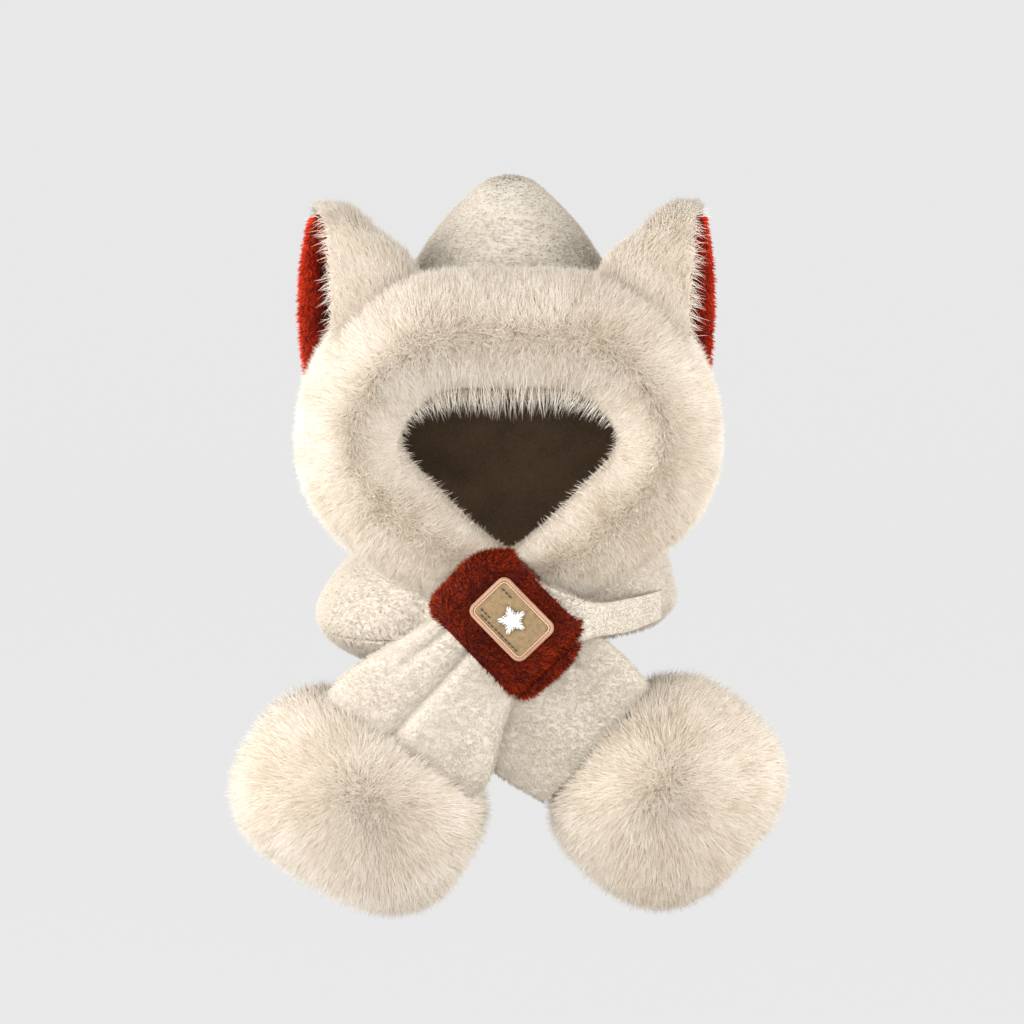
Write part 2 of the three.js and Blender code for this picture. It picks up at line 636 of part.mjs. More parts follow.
// The patch on the front of the loop
const field = onSleeve(
  roundedOutline(patchLength - 2 * borderWidth, patchWidth - 2 * borderWidth, patchCorner - borderWidth),
  pieceGap,
  fieldThickness,
);
const borderOuter = onSleeve(roundedOutline(patchLength, patchWidth, patchCorner), pieceGap, borderThickness);
const borderHole = onSleeve(
  roundedOutline(
    patchLength - 2 * (borderWidth - pieceGap),
    patchWidth - 2 * (borderWidth - pieceGap),
    patchCorner - borderWidth + pieceGap,
  ),
  -holeReach / 2,
  borderThickness + holeReach,
);
const border = borderOuter.subtract(borderHole);
const motif = onSleeve(
  starOutline(motifRadius, motifPoints),
  2 * pieceGap + fieldThickness,
  motifThickness,
);

const hood = new THREE.Group();
function addPiece(name, solid, material) {
  const mesh = new THREE.Mesh(geometryOf(solid), material);
  mesh.name = name;
  hood.add(mesh);
}

addPiece("hood_crown", crownSolid, cream);
addPiece("hood_lining", liningSolid, liningBrown);
addPiece("face_ruff", ruffSolid, creamDeep);
ears.forEach(({ side, fur, red }) => {
  addPiece(`ear_${side}_fur`, fur, creamDeep);
  addPiece(`ear_${side}_lining`, red, redPlush);
});
addPiece("neck_collar", collarSolid, cream);
addPiece("scarf_tail_front", frontTail, cream);
addPiece("scarf_tail_back", backTail, cream);
pawSolids.forEach(({ side, solid }) => addPiece(`paw_${side}`, solid, creamDeep));
addPiece("scarf_loop", loopSolid, redPlush);
addPiece("patch_field", field, patchKhaki);
addPiece("patch_border", border, borderTan);
addPiece("patch_motif", motif, feltWhite);

export default hood;
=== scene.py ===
# A faux fur hood with animal ears and a scarf in one: pointed crown, deep fur ruff round the face, cupped ears,
# shoulder collar, and two tails that cross through a red plush loop and end in fur paws.
# Sizes in the dictionaries are millimetres, the meshes are in metres. Z is up and the face looks along -Y.
import math

import bpy
import numpy as np
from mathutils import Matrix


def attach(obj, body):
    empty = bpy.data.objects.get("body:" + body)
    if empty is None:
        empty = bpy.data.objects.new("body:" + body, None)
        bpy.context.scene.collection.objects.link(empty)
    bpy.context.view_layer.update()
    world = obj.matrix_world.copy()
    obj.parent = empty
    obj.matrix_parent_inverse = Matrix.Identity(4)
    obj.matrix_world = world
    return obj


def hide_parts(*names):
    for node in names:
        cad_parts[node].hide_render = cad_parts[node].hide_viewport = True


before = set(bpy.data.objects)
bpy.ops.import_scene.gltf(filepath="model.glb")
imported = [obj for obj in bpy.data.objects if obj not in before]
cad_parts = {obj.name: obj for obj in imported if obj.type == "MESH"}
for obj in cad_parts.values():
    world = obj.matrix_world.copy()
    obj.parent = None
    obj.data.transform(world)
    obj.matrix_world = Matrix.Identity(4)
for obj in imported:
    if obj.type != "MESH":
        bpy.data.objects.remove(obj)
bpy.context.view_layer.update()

mm = 0.001
down = np.array([0.0, 0.0, -1.0])
toFace = np.array([0.0, -1.0, 0.0])


# Colour, nodes and meshes

def linear(code, alpha=1.0):  # an sRGB hex value as linear light
    part = np.array([int(code[i:i + 2], 16) for i in (0, 2, 4)]) / 255
    light = np.where(part <= 0.04045, part / 12.92, ((part + 0.055) / 1.055) ** 2.4)
    return (*light.tolist(), alpha)


def addNode(tree, kind, inputs=None, **settings):  # a node with its settings; an input takes a value or a link
    node = tree.nodes.new(kind)
    for name, value in settings.items():
        setattr(node, name, value)
    for name, value in (inputs or {}).items():
        if isinstance(value, bpy.types.NodeSocket):
            tree.links.new(value, node.inputs[name])
        else:
            node.inputs[name].default_value = value
    return node


def newMaterial(name):  # an empty material and its shader
    material = bpy.data.materials.new(name)
    material.use_nodes = True
    return material, material.node_tree, material.node_tree.nodes["Principled BSDF"]


def setShader(shader, values):  # constants on the shader's own sockets
    for name, value in values.items():
        shader.inputs[name].default_value = value


def rampOf(tree, source, stops):  # a colour ramp with stops of (place, hex)
    ramp = addNode(tree, "ShaderNodeValToRGB", {"Fac": source})
    band = ramp.color_ramp
    band.elements[0].position, band.elements[1].position = stops[0][0], stops[-1][0]
    band.elements[0].color, band.elements[1].color = linear(stops[0][1]), linear(stops[-1][1])
    for place, code in stops[1:-1]:
        band.elements.new(place).color = linear(code)
    return ramp.outputs["Color"]


def unit(vectors):
    return vectors / np.maximum(np.linalg.norm(vectors, axis=-1, keepdims=True), 1e-12)


def dot(a, b):
    return (a * b).sum(-1, keepdims=True)


def power(value, squareness):  # signed power, which turns a circle into a rounded square
    return np.sign(value) * np.abs(value) ** (2 / squareness)


def smoothStep(low, high, value):
    t = np.clip((value - low) / (high - low), 0, 1)
    return t * t * (3 - 2 * t)


def drift(points, size, seed):  # smooth noise: each axis is a sum of nine sines along random directions
    rng = np.random.default_rng(seed)
    waves = rng.normal(size=(9, 3)) * rng.uniform(0.6, 1.6, (9, 1)) / size
    phase = rng.uniform(0, 2 * math.pi, (9, 3))
    return np.sin((points @ waves.T)[..., None] * 1.6 + phase).sum(-2) / 3


def rowsAt(table, share, closed=False):  # a smooth curve through every column of a table; share is 0 to 1 along it
    values = np.array(table["rows"], float)
    spans = len(values) - (0 if closed else 1)
    place = np.clip(share, 0, 1) * spans
    first = np.minimum(np.floor(place).astype(int), spans - 1)
    t = (place - first)[:, None]
    limit = len(values) - 1
    a, b, c, d = (
        values[(first + k) % len(values)] if closed else values[np.clip(first + k, 0, limit)] for k in (-1, 0, 1, 2)
    )
    curve = b + 0.5 * t * (c - a + t * (2 * a - 5 * b + 4 * c - d + t * (3 * (b - c) + d - a)))
    return dict(zip(table["columns"].split(), curve.T))


def meshFrom(points, quads=(), triangles=()):  # a smooth shaded mesh straight from arrays
    quads = np.asarray(quads, np.int32).reshape(-1, 4)
    triangles = np.asarray(triangles, np.int32).reshape(-1, 3)
    mesh = bpy.data.meshes.new("mesh")
    mesh.vertices.add(len(points))
    mesh.vertices.foreach_set("co", np.asarray(points, np.float32).ravel())
    corners = np.concatenate([quads.ravel(), triangles.ravel()])
    mesh.loops.add(len(corners))
    mesh.loops.foreach_set("vertex_index", corners)
    first = np.concatenate([np.arange(len(quads)) * 4, len(quads) * 4 + np.arange(len(triangles)) * 3])
    mesh.polygons.add(len(first))
    mesh.polygons.foreach_set("loop_start", first.astype(np.int32))
    mesh.polygons.foreach_set("use_smooth", np.ones(len(first), bool))
    mesh.update(calc_edges=True)
    return mesh


def setUv(mesh, layer, uv):  # a map with one place for each vertex
    corner = np.empty(len(mesh.loops), np.int32)
    mesh.loops.foreach_get("vertex_index", corner)
    mesh.uv_layers.new(name=layer).data.foreach_set("uv", uv[corner].astype(np.float32).ravel())


def addPiece(name, mesh, material, stands=None):  # a piece on the hood's one body
    mesh.name = name
    mesh.materials.append(material)
    piece = bpy.data.objects.new(name, mesh)
    bpy.context.scene.collection.objects.link(piece)
    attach(piece, "root")
    if stands:
        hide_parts(stands)
    return piece


def addWall(piece, thickness):  # gives an open skin its wall, inwards
    wall = piece.modifiers.new("wall", "SOLIDIFY")
    wall.thickness = thickness * mm
    wall.offset = -1.0


def closeGrid(grid, wrapRows, wrapColumns):  # repeats the first row and column of a grid that closes on itself
    if wrapRows:
        grid = np.concatenate([grid, grid[:1]], 0)
    if wrapColumns:
        grid = np.concatenate([grid, grid[:, :1]], 1)
    return grid


def slopeOf(points, axis, wrap):  # steps from each point to the next along one axis of a grid
    return np.roll(points, -1, axis) - np.roll(points, 1, axis) if wrap else np.gradient(points, axis=axis)


def gridForm(points, wrapRows=False, wrapColumns=False):  # a grid of points with normals that face outwards
    p = closeGrid(points, wrapRows, wrapColumns)
    normals = np.cross(slopeOf(points, 0, wrapRows), slopeOf(points, 1, wrapColumns))
    a, b, c, d = p[:-1, :-1], p[1:, :-1], p[1:, 1:], p[:-1, 1:]
    middle = points.mean((0, 1))
    volume = ((a - middle) * np.cross(b - middle, c - middle) + (a - middle) * np.cross(c - middle, d - middle)).sum()
    sign = 1.0 if volume > 0 else -1.0
    small = np.linalg.norm(normals, axis=-1, keepdims=True) < 1e-12
    normals = closeGrid(unit(np.where(small, points - middle, normals * sign)), wrapRows, wrapColumns)
    return {"points": p, "normals": normals, "sign": sign, "wrap": (wrapRows, wrapColumns), "fields": {}}


def gridQuads(rows, columns, wrapRows=False, wrapColumns=False):  # the corners of a grid's faces
    i, j = np.meshgrid(
        np.arange(rows if wrapRows else rows - 1), np.arange(columns if wrapColumns else columns - 1), indexing="ij"
    )
    below, beside = (i + 1) % rows, (j + 1) % columns
    return np.stack([i * columns + j, below * columns + j, below * columns + beside, i * columns + beside], -1)


def formMesh(form, caps=False, keep=None):  # the form's skin; caps close its first and last rows
    wrapRows, wrapColumns = form["wrap"]
    rows, columns = np.array(form["points"].shape[:2]) - (int(wrapRows), int(wrapColumns))
    quads = gridQuads(rows, columns, wrapRows, wrapColumns)
    if form["sign"] < 0:
        quads = quads[..., ::-1]
    if keep is not None:
        quads = quads[keep]
    points = form["points"][:rows, :columns].reshape(-1, 3)
    triangles = []
    if caps:
        around = np.arange(columns)
        after = (around + 1) % columns
        for row, tip, flip in ((0, len(points), False), (rows - 1, len(points) + 1, True)):
            fan = np.stack([row * columns + around, row * columns + after, np.full(columns, tip)], -1)
            triangles.append(fan[:, ::-1] if flip == (form["sign"] > 0) else fan)
        points = np.concatenate([points, form["points"][[0, -1]][:, :columns].mean(1)])
        triangles = np.concatenate(triangles)
    return meshFrom(points, quads.reshape(-1, 4), triangles)


def scatter(form, count, seed, weight=None):  # random roots on a form, more where its faces are large or weighted
    rng = np.random.default_rng(seed)
    p = form["points"]
    area = np.linalg.norm(np.cross(p[1:, :-1] - p[:-1, :-1], p[:-1, 1:] - p[:-1, :-1]), axis=-1)
    if weight is not None:
        area = area * (weight[:-1, :-1] + weight[1:, 1:]) / 2
    cell = rng.choice(area.size, count, p=area.ravel() / area.sum())
    i, j = np.unravel_index(cell, area.shape)
    s, t = rng.uniform(size=(2, count, 1))

    def across(field):
        field = field if field.ndim == 3 else field[..., None]
        near = field[i, j] * (1 - t) + field[i, j + 1] * t
        return near * (1 - s) + (field[i + 1, j] * (1 - t) + field[i + 1, j + 1] * t) * s

    root = {"points": across(p), "normals": unit(across(form["normals"]))}
    root.update({name: across(field) for name, field in form["fields"].items()})
    return root


def lockPull(points, size, seed):  # the way from each root to the middle of its lock, and the lock's number
    cell = np.floor((points + drift(points, 2.2 * size, seed) * size * 0.5) / size).astype(np.int64)
    _, lock = np.unique(cell, axis=0, return_inverse=True)
    lock = lock.ravel()
    members = np.bincount(lock)
    middle = np.stack([np.bincount(lock, points[:, axis]) / members for axis in range(3)], -1)
    return middle[lock] - points, lock


# How a pile lies, where no piece says otherwise. lift: how upright at the root and at the tip. droop: the pull
# downwards. swirl, stray: size in mm of the slow changes of way, and how large they are. frizz: each strand's own way.
# lock, lockStray, gather: a lock's size in mm, its own way and how far its tips meet. uneven: spread of the length.
# width: in mm. softness: how far the shading follows the form. bent: two triangles, not one. toFront: how far blades
# turn to the front. mottle: spread of the tone from strand to strand.
deepLook = {
    "lift": (0.55, 0.25), "droop": 0.1, "swirl": 45, "stray": 0.15, "frizz": 0.2, "lock": 6, "lockStray": 0.1,
    "gather": 0.04, "uneven": 0.4, "width": 0.68, "softness": 0.95, "bent": False, "toFront": 0.35, "mottle": 0.24,
}
shortLook = {
    "lift": (0.9, 0.6), "droop": 0.1, "swirl": 40, "stray": 0.15, "frizz": 0.3, "lock": 6, "lockStray": 0.0,
    "gather": 0.0, "uneven": 0.4, "width": 0.7, "softness": 0.98, "bent": False, "toFront": 0.35, "mottle": 0.14,
}


# Pile and fur as blades. A blade runs from its root: root + length * (start * (t - t2 / 2) + end * t2 / 2), t from
# 0 to 1, and its tip is drawn towards the middle of its lock. It is one narrow triangle, or for the single hairs of
# a rim a diamond of two, bent near half its length. Both uv maps hold how light the strand is and the place along it.
def pileMesh(root, look, seed):
    rng = np.random.default_rng(seed)
    p, n = root["points"], root["normals"]
    count = len(p)
    comb = root["comb"] + drift(p, look["swirl"] * mm, seed + 1) * look["stray"]
    comb = comb - n * dot(comb, n)
    loose = rng.normal(size=(count, 3)) * look["frizz"]
    pull, lock = lockPull(p, look["lock"] * mm, seed + 2)
    lockWay = rng.normal(size=(lock.max() + 1, 3))[lock] * look["lockStray"]
    lockTone = rng.normal(size=lock.max() + 1)[lock]
    start = unit(n * look["lift"][0] + comb * (1 - look["lift"][0]) + loose * 0.5)
    end = unit(n * look["lift"][1] + comb + down * look["droop"] + loose + lockWay)
    length = root["length"] * rng.uniform(1 - look["uneven"], 1, (count, 1))

    def place(t):
        return p + length * (start * (t - t * t / 2) + end * (t * t / 2)) + pull * (look["gather"] * t ** 1.5)

    tip = place(1.0)
    chord = unit(tip - p)
    turn = rng.uniform(-0.5, 0.5, (count, 1))
    seen = unit(n + toFace * look["toFront"] * 2)  # blades face outwards and to the front, where the light is
    face = unit(seen * np.cos(turn) + unit(np.cross(chord, seen)) * np.sin(turn))
    side = unit(np.cross(chord, face)) * (look["width"] * mm / 2) * rng.uniform(0.7, 1.25, (count, 1))
    if look["bent"]:
        half = place(0.45)
        points = np.stack([p, half - side, half + side, tip], 1)
        corners, uv = [(0, 2, 1), (1, 2, 3)], np.array([(0, 0.01), (-0.004, 0.45), (0.004, 0.45), (0, 0.99)])
    else:
        points = np.stack([p - side, p + side, tip], 1)
        corners, uv = [(0, 1, 2)], np.array([(-0.004, 0.01), (0.004, 0.01), (0, 0.99)])
    per = points.shape[1]
    faces = (np.arange(count) * per)[:, None, None] + np.array(corners)
    mesh = meshFrom(points.reshape(-1, 3), triangles=faces)
    soft = unit(n * look["softness"] + face * (1 - look["softness"]) + chord * 0.15 + toFace * look["toFront"])
    mesh.normals_split_custom_set_from_vertices(np.repeat(soft, per, 0).astype(np.float32))
    tone = root.get("tone", np.zeros((1, 1)))[:, 0] + 0.5 + 0.05 * lockTone + rng.normal(size=count) * look["mottle"]
    tone = tone + drift(p, 50 * mm, seed + 3)[:, 0] * 0.1 + drift(p, 11 * mm, seed + 4)[:, 0] * 0.08
    uv = np.stack([np.clip(tone, 0.02, 0.98)[:, None] + uv[:, 0], np.broadcast_to(uv[:, 1], (count, per))], -1)
    for layer in ("strand", "OFBake"):
        setUv(mesh, layer, uv.reshape(-1, 2))
    return mesh


def addPile(name, form, count, seeds, look, material, weight=None):  # covers a form with strands
    mesh = pileMesh(scatter(form, count, seeds[0], weight), look, seeds[1])
    addPiece(name, mesh, material)


# Materials

def furMaterial(name, dark, mid, light, rootShade, roughness, sheen, gloss=0.3):
    # strands with painted shade at their roots, which differ in tone as their "strand" map says
    material, tree, shader = newMaterial(name)
    strand = addNode(tree, "ShaderNodeUVMap", uv_map="strand")
    place = addNode(tree, "ShaderNodeSeparateXYZ", {"Vector": strand.outputs["UV"]})
    tone = rampOf(tree, place.outputs["X"], [(0.0, dark), (0.5, mid), (1.0, light)])
    # the root's darker colour is painted shade, where the strands shade each other
    shade = rampOf(tree, place.outputs["Y"], [(0.0, rootShade), (0.6, "f6f3ee"), (1.0, "ffffff")])
    shaded = {"A": tone, "B": shade, "Factor": 1.0}
    mix = addNode(tree, "ShaderNodeMix", shaded, data_type="RGBA", blend_type="MULTIPLY")
    tree.links.new(mix.outputs["Result"], shader.inputs["Base Color"])
    setShader(shader, {"Roughness": roughness, "Sheen Weight": sheen, "Sheen Roughness": 0.45})
    setShader(shader, {"Specular IOR Level": gloss})
    return material


def clothMaterial(name, dark, light, threadMm, bump, roughness, sheen):
    # a plain cloth: fine criss-cross threads on Object coordinates, with a slow change of tone
    material, tree, shader = newMaterial(name)
    place = addNode(tree, "ShaderNodeTexCoord").outputs["Object"]
    tone = addNode(tree, "ShaderNodeTexNoise", {"Vector": place, "Scale": 1 / (28 * mm), "Detail": 5.0})
    fine = addNode(tree, "ShaderNodeTexNoise", {"Vector": place, "Scale": 1 / (threadMm * mm), "Detail": 3.0})
    both = addNode(tree, "ShaderNodeMath", {0: tone.outputs["Fac"], 1: fine.outputs["Fac"]}, operation="ADD")
    half = addNode(tree, "ShaderNodeMath", {0: both.outputs["Value"], 1: 0.5}, operation="MULTIPLY")
    tree.links.new(rampOf(tree, half.outputs["Value"], [(0.32, dark), (0.68, light)]), shader.inputs["Base Color"])
    relief = addNode(tree, "ShaderNodeBump", {"Height": fine.outputs["Fac"], "Strength": bump, "Distance": 0.6 * mm})
    tree.links.new(relief.outputs["Normal"], shader.inputs["Normal"])
    setShader(shader, {"Roughness": roughness, "Sheen Weight": sheen, "Sheen Roughness": 0.5})
    return material


def twillMaterial(name, warp, weft, threadMm):
    # woven patch cloth: slanting ribs of warp over weft, drawn at twice their real width so that they show
    material, tree, shader = newMaterial(name)
    place = addNode(tree, "ShaderNodeUVMap", uv_map="cloth").outputs["UV"]
    waves = []
    for angle, size in ((58, threadMm), (0, threadMm * 0.8)):  # the ribs and the threads across them
        turned = addNode(tree, "ShaderNodeMapping", {"Vector": place, "Rotation": (0.0, 0.0, math.radians(angle))})
        settings = {
            "Vector": turned.outputs["Vector"], "Scale": 0.314 / size, "Distortion": 1.2, "Detail": 2.0,
            "Detail Scale": 2.0,
        }
        wave = addNode(tree, "ShaderNodeTexWave", settings, wave_type="BANDS", bands_direction="X")
        waves.append(wave.outputs["Fac"])
    woven = addNode(tree, "ShaderNodeMath", {0: waves[0], 1: waves[1]}, operation="MULTIPLY").outputs["Value"]
    cloud = addNode(tree, "ShaderNodeTexNoise", {"Vector": place, "Scale": 0.25, "Detail": 6.0}).outputs["Fac"]
    tone = addNode(tree, "ShaderNodeMath", {0: woven, 1: cloud}, operation="ADD").outputs["Value"]
    tree.links.new(rampOf(tree, tone, [(0.35, weft), (1.0, warp)]), shader.inputs["Base Color"])
    relief = addNode(tree, "ShaderNodeBump", {"Height": woven, "Strength": 0.5, "Distance": 0.3 * mm})
    tree.links.new(relief.outputs["Normal"], shader.inputs["Normal"])
    setShader(shader, {"Roughness": 0.8})
    return material


# Acrylic deep fur, tufted and brushed: bright soft tips over a warm root with painted shade, with a little sheen
deepFur = furMaterial("acrylic_deep_fur", "c8b8a2", "e9ddcd", "f9f3ea", "e6dac8", 0.65, 0.15)
# Polyester short plush, knitted and sheared: an even cream nap, paler at its tips, with painted shade towards its
# roots
shortPlush = furMaterial("polyester_short_plush", "c3b8a8", "d9d0c3", "ebe4da", "e8e0d4", 0.7, 0.15)
# Red velboa plush, dyed and sheared: saturated, with painted shade at the root, bright where its tips catch the light
redPlush = furMaterial("red_velboa_plush", "280602", "ac2006", "f04a20", "d8b0a0", 0.7, 0.0, 0.1)
# The same plush on the loop in darker colours: a shaded copy, painted shade for the loop lying away from the light
redPlushShaded = furMaterial("red_velboa_plush_shaded", "320a01", "621702", "cc430e", "b88a78", 0.7, 0.0, 0.1)
# Knitted plush backing under the pile, seen only where the pile parts
creamBacking = clothMaterial("cream_knit_backing", "cdc3b4", "dcd3c6", 1.6, 0.2, 0.9, 0.1)
redBacking = clothMaterial("red_knit_backing", "4a0e05", "6e1a0b", 1.4, 0.4, 0.9, 0.0)
# Brushed polyester lining, woven, with a soft nap: its dull brown is painted shade, the shade inside the hood
liningPaintedShade = clothMaterial("brushed_lining_painted_shade", "57432f", "7a6349", 1.5, 0.4, 0.85, 0.15)
# Cotton twill, woven and dyed khaki: slanting ribs
khakiTwill = twillMaterial("khaki_cotton_twill", "a88c66", "6c573c", 0.9)
# Rayon embroidery thread, twisted: a silky gloss along each stitch
tanThread = clothMaterial("tan_rayon_thread", "ae8568", "cba283", 0.8, 0.3, 0.42, 0.1)
paleThread = clothMaterial("pale_rayon_thread", "d6ab8d", "edc9ae", 0.8, 0.3, 0.42, 0.1)
darkThread = clothMaterial("dark_cotton_thread", "2b2019", "43352a", 0.8, 0.3, 0.7, 0.1)
# Wool felt, pressed: matt, slightly mottled
woolFelt = clothMaterial("pressed_wool_felt", "cfc9be", "e6e1d8", 1.1, 0.6, 0.9, 0.3)


# The forms: each is a grid of points, worked out from its table

def levelRings(row, columns, rear):  # half an oval in front and half behind, each with its own squareness
    angle = np.linspace(0, 2 * math.pi, columns, endpoint=False)[None]
    column = {name: values[:, None] for name, values in row.items()}
    n = np.where(np.sin(angle) < 0, column["squareness"], rear)
    across = power(np.cos(angle), n)
    x = across * np.where(across < 0, column["left"], column["right"])
    y = (column["front"] + column["back"]) / 2 + power(np.sin(angle), n) * (column["back"] - column["front"]) / 2
    return np.stack([x, y, np.broadcast_to(column["z"], x.shape)], -1) * mm


crownSizes = {
    "columns": "z halfWidth front back squareness",
    "rows": [
        (11.0, 0.8, 13.2, 14.8, 2.2), (10.4, 6, 8, 20, 2.2), (6, 19, -7, 33, 2.2), (-7, 34, -23, 49, 2.2),
        (-28, 53, -37, 67, 2.2), (-54, 70, -52, 84, 2.5), (-84, 89, -67, 97, 3.2), (-120, 106, -74, 108, 4.5),
        (-165, 115, -74, 114, 6), (-205, 113, -76, 112, 6), (-240, 102, -84, 103, 4.5), (-268, 92, -90, 92, 3.4),
        (-294, 86, -93, 84, 2.8),
    ],
    "middle": 14,  # the top's place from front to back
    "rear": 2.2,  # squareness of the back half
    "plushWall": 8.5,
    "liningIn": 9.2,  # the lining lies this far inside the outline
    "faceDepth": -30,  # the face opening is cut in what lies in front of this
}
ruffSizes = {
    "columns": "x y z reach depth",
    "rows": [
        (0, -78, -101, 43, 47), (58, -77, -105, 43, 47), (97, -72, -134, 42, 47), (112, -68, -174, 38, 47),
        (104, -72, -207, 39, 46), (76, -80, -235, 37, 42), (37, -89, -262, 30, 35), (0, -93, -275, 24, 30),
    ],
    "middleHeight": -180,  # outwards is away from this height on the middle line
    "backing": 0.87,  # the backing's share of the reach; fur fills the rest
    "parting": 98,  # degrees round the section, from outwards over the front, where the fur parts
}


def crownForm(wall, rows=44, columns=96):  # the crown's levels moved in by a wall, square to the side's slope
    row = rowsAt(crownSizes, np.linspace(0, 1, rows))
    slope = unit(np.stack([np.gradient(row["halfWidth"]), np.gradient(row["z"])], -1))
    inwards = -slope[:, 1] * wall
    half = np.maximum(row["halfWidth"] - inwards, 0.2)
    middle = crownSizes["middle"]
    front = np.minimum(row["front"] + inwards, middle - 0.2)
    back = np.maximum(row["back"] - inwards, middle + 0.2)
    z = row["z"] - slope[:, 0] * wall
    ring = {"z": z, "left": half, "right": half, "front": front, "back": back, "squareness": row["squareness"]}
    return gridForm(levelRings(ring, columns, crownSizes["rear"]), wrapColumns=True)


def ruffFrames(share):  # the ruff's middle line with its directions outwards and to the front
    loop = {"columns": ruffSizes["columns"]}
    right = ruffSizes["rows"]
    loop["rows"] = right + [(-x, *rest) for x, *rest in right[-2:0:-1]]
    row = rowsAt(loop, share, closed=True)
    line = np.stack([row["x"], row["y"], row["z"]], -1)
    along = unit(np.roll(line, -1, 0) - np.roll(line, 1, 0))
    outwards = unit(np.cross(along, [0.0, 1.0, 0.0]))
    away = line - [0, 0, ruffSizes["middleHeight"]]
    outwards *= np.sign((outwards * away * [1, 0, 1]).sum(-1, keepdims=True))
    forwards = unit(np.cross(along, outwards))
    forwards *= -np.sign(forwards[:, 1:2])
    return row, line, outwards, forwards


def ruffForm(size, steps=132, columns=32):  # oval sections carried round the middle line
    row, line, outwards, forwards = ruffFrames(np.arange(steps) / steps)
    angle = np.linspace(0, 2 * math.pi, columns, endpoint=False)[None, :, None]
    reach = np.cos(angle) * row["reach"][:, None, None] * size
    depth = np.sin(angle) * row["depth"][:, None, None] * size
    points = line[:, None] + outwards[:, None] * reach + forwards[:, None] * depth
    form = gridForm(points * mm, wrapRows=True, wrapColumns=True)
    return form, np.degrees(angle[..., 0])


def faceShare(points):  # how far a point is from the face's middle, as a share of the way to the ruff's middle line
    _, line, _, _ = ruffFrames(np.arange(360) / 360)
    centre = np.array([0, ruffSizes["middleHeight"]])
    flat = line[:, [0, 2]] - centre
    turn = np.arctan2(flat[:, 1], flat[:, 0])
    order = np.argsort(turn)
    way = points[..., [0, 2]] / mm - centre
    edge = np.interp(
        np.arctan2(way[..., 1], way[..., 0]), turn[order], np.linalg.norm(flat, axis=1)[order], period=2 * math.pi
    )
    return np.linalg.norm(way, axis=-1) / edge


def faceCut(form):  # the share of the way to the ruff, what lies in front, and the faces outside the opening
    share = faceShare(form["points"])
    inFront = form["points"][..., 1] < crownSizes["faceDepth"] * mm
    centre = (share[:-1, :-1] + share[1:, 1:]) / 2
    return share, inFront, ~((centre < 1.0) & inFront[:-1, :-1])


def alongRows(form):  # unit steps from each row to the next
    return unit(np.gradient(form["points"], axis=0))


def withFields(form, **fields):  # what its strands read at each point: comb is a way, the others are one number
    rows, columns = form["points"].shape[:2]
    form["fields"] = {}
    for name, value in fields.items():
        form["fields"][name] = np.broadcast_to(np.asarray(value, float), (rows, columns, 3 if name == "comb" else 1))


# The crown, and the lining inside it

crown = {
    "backingIn": 2.2,  # the backing lies this far inside the pile's outline
    "hairs": 84000,
    "length": 4.0,
    "topShorter": 0.4,  # the share taken off it at the very top
    "look": {**shortLook, "frizz": 0.22, "width": 0.78},
}
liningWall = 1.6


def makeCrown():
    form = crownForm(crown["backingIn"])
    share, inFront, keep = faceCut(form)
    mesh = formMesh(form, keep=keep)
    shell = addPiece("hood_crown_shell", mesh, creamBacking, stands="hood_crown")
    addWall(shell, crownSizes["plushWall"] - crown["backingIn"])
    atTop = smoothStep(-45, 0, form["points"][..., 2:] / mm)
    withFields(form, comb=alongRows(form), length=crown["length"] * mm * (1 - crown["topShorter"] * atTop))
    weight = np.where((share < 1.12) & inFront, 0.0, 1.0)
    addPile("hood_crown_pile", form, crown["hairs"], (11, 12), crown["look"], shortPlush, weight)
    print("crown:", crown["hairs"], "hairs")


def makeLining():
    form = crownForm(crownSizes["liningIn"], rows=40, columns=80)
    _, _, keep = faceCut(form)
    cloth = formMesh(form, keep=keep)
    lining = addPiece("hood_lining_cloth", cloth, liningPaintedShade, stands="hood_lining")
    addWall(lining, liningWall)
    print("lining")


# The ruff

ruff = {
    "strands": 272000,
    "length": 17,  # where the reach is "fullReach"
    "fullReach": 43,
    "behind": (172, 60, 0.35),  # degrees on from the parting, how far it spreads, and the share of strands there
    "combTurn": 40,  # degrees over which the comb turns round at the parting
    "opening": (168, 34),  # where round the section the fur is short, and how far that spreads, in degrees
    "shorter": 0.75,  # the share taken off it there
    "fringe": 1500,  # single long hairs over the opening
    "fringeReach": 1.8,
    "fringeSpread": 22,
    "brow": (-165, -130),  # heights between which the fringe grows to its full length
    "look": deepLook,
    "fringeLook": {
        "lift": (1.0, 0.8), "droop": 0.35, "swirl": 30, "stray": 0.3, "frizz": 0.22, "lock": 3, "lockStray": 0.1,
        "gather": 0.1, "uneven": 0.65, "width": 0.36, "softness": 0.6, "bent": True, "toFront": 0.6, "mottle": 0.1,
    },
}


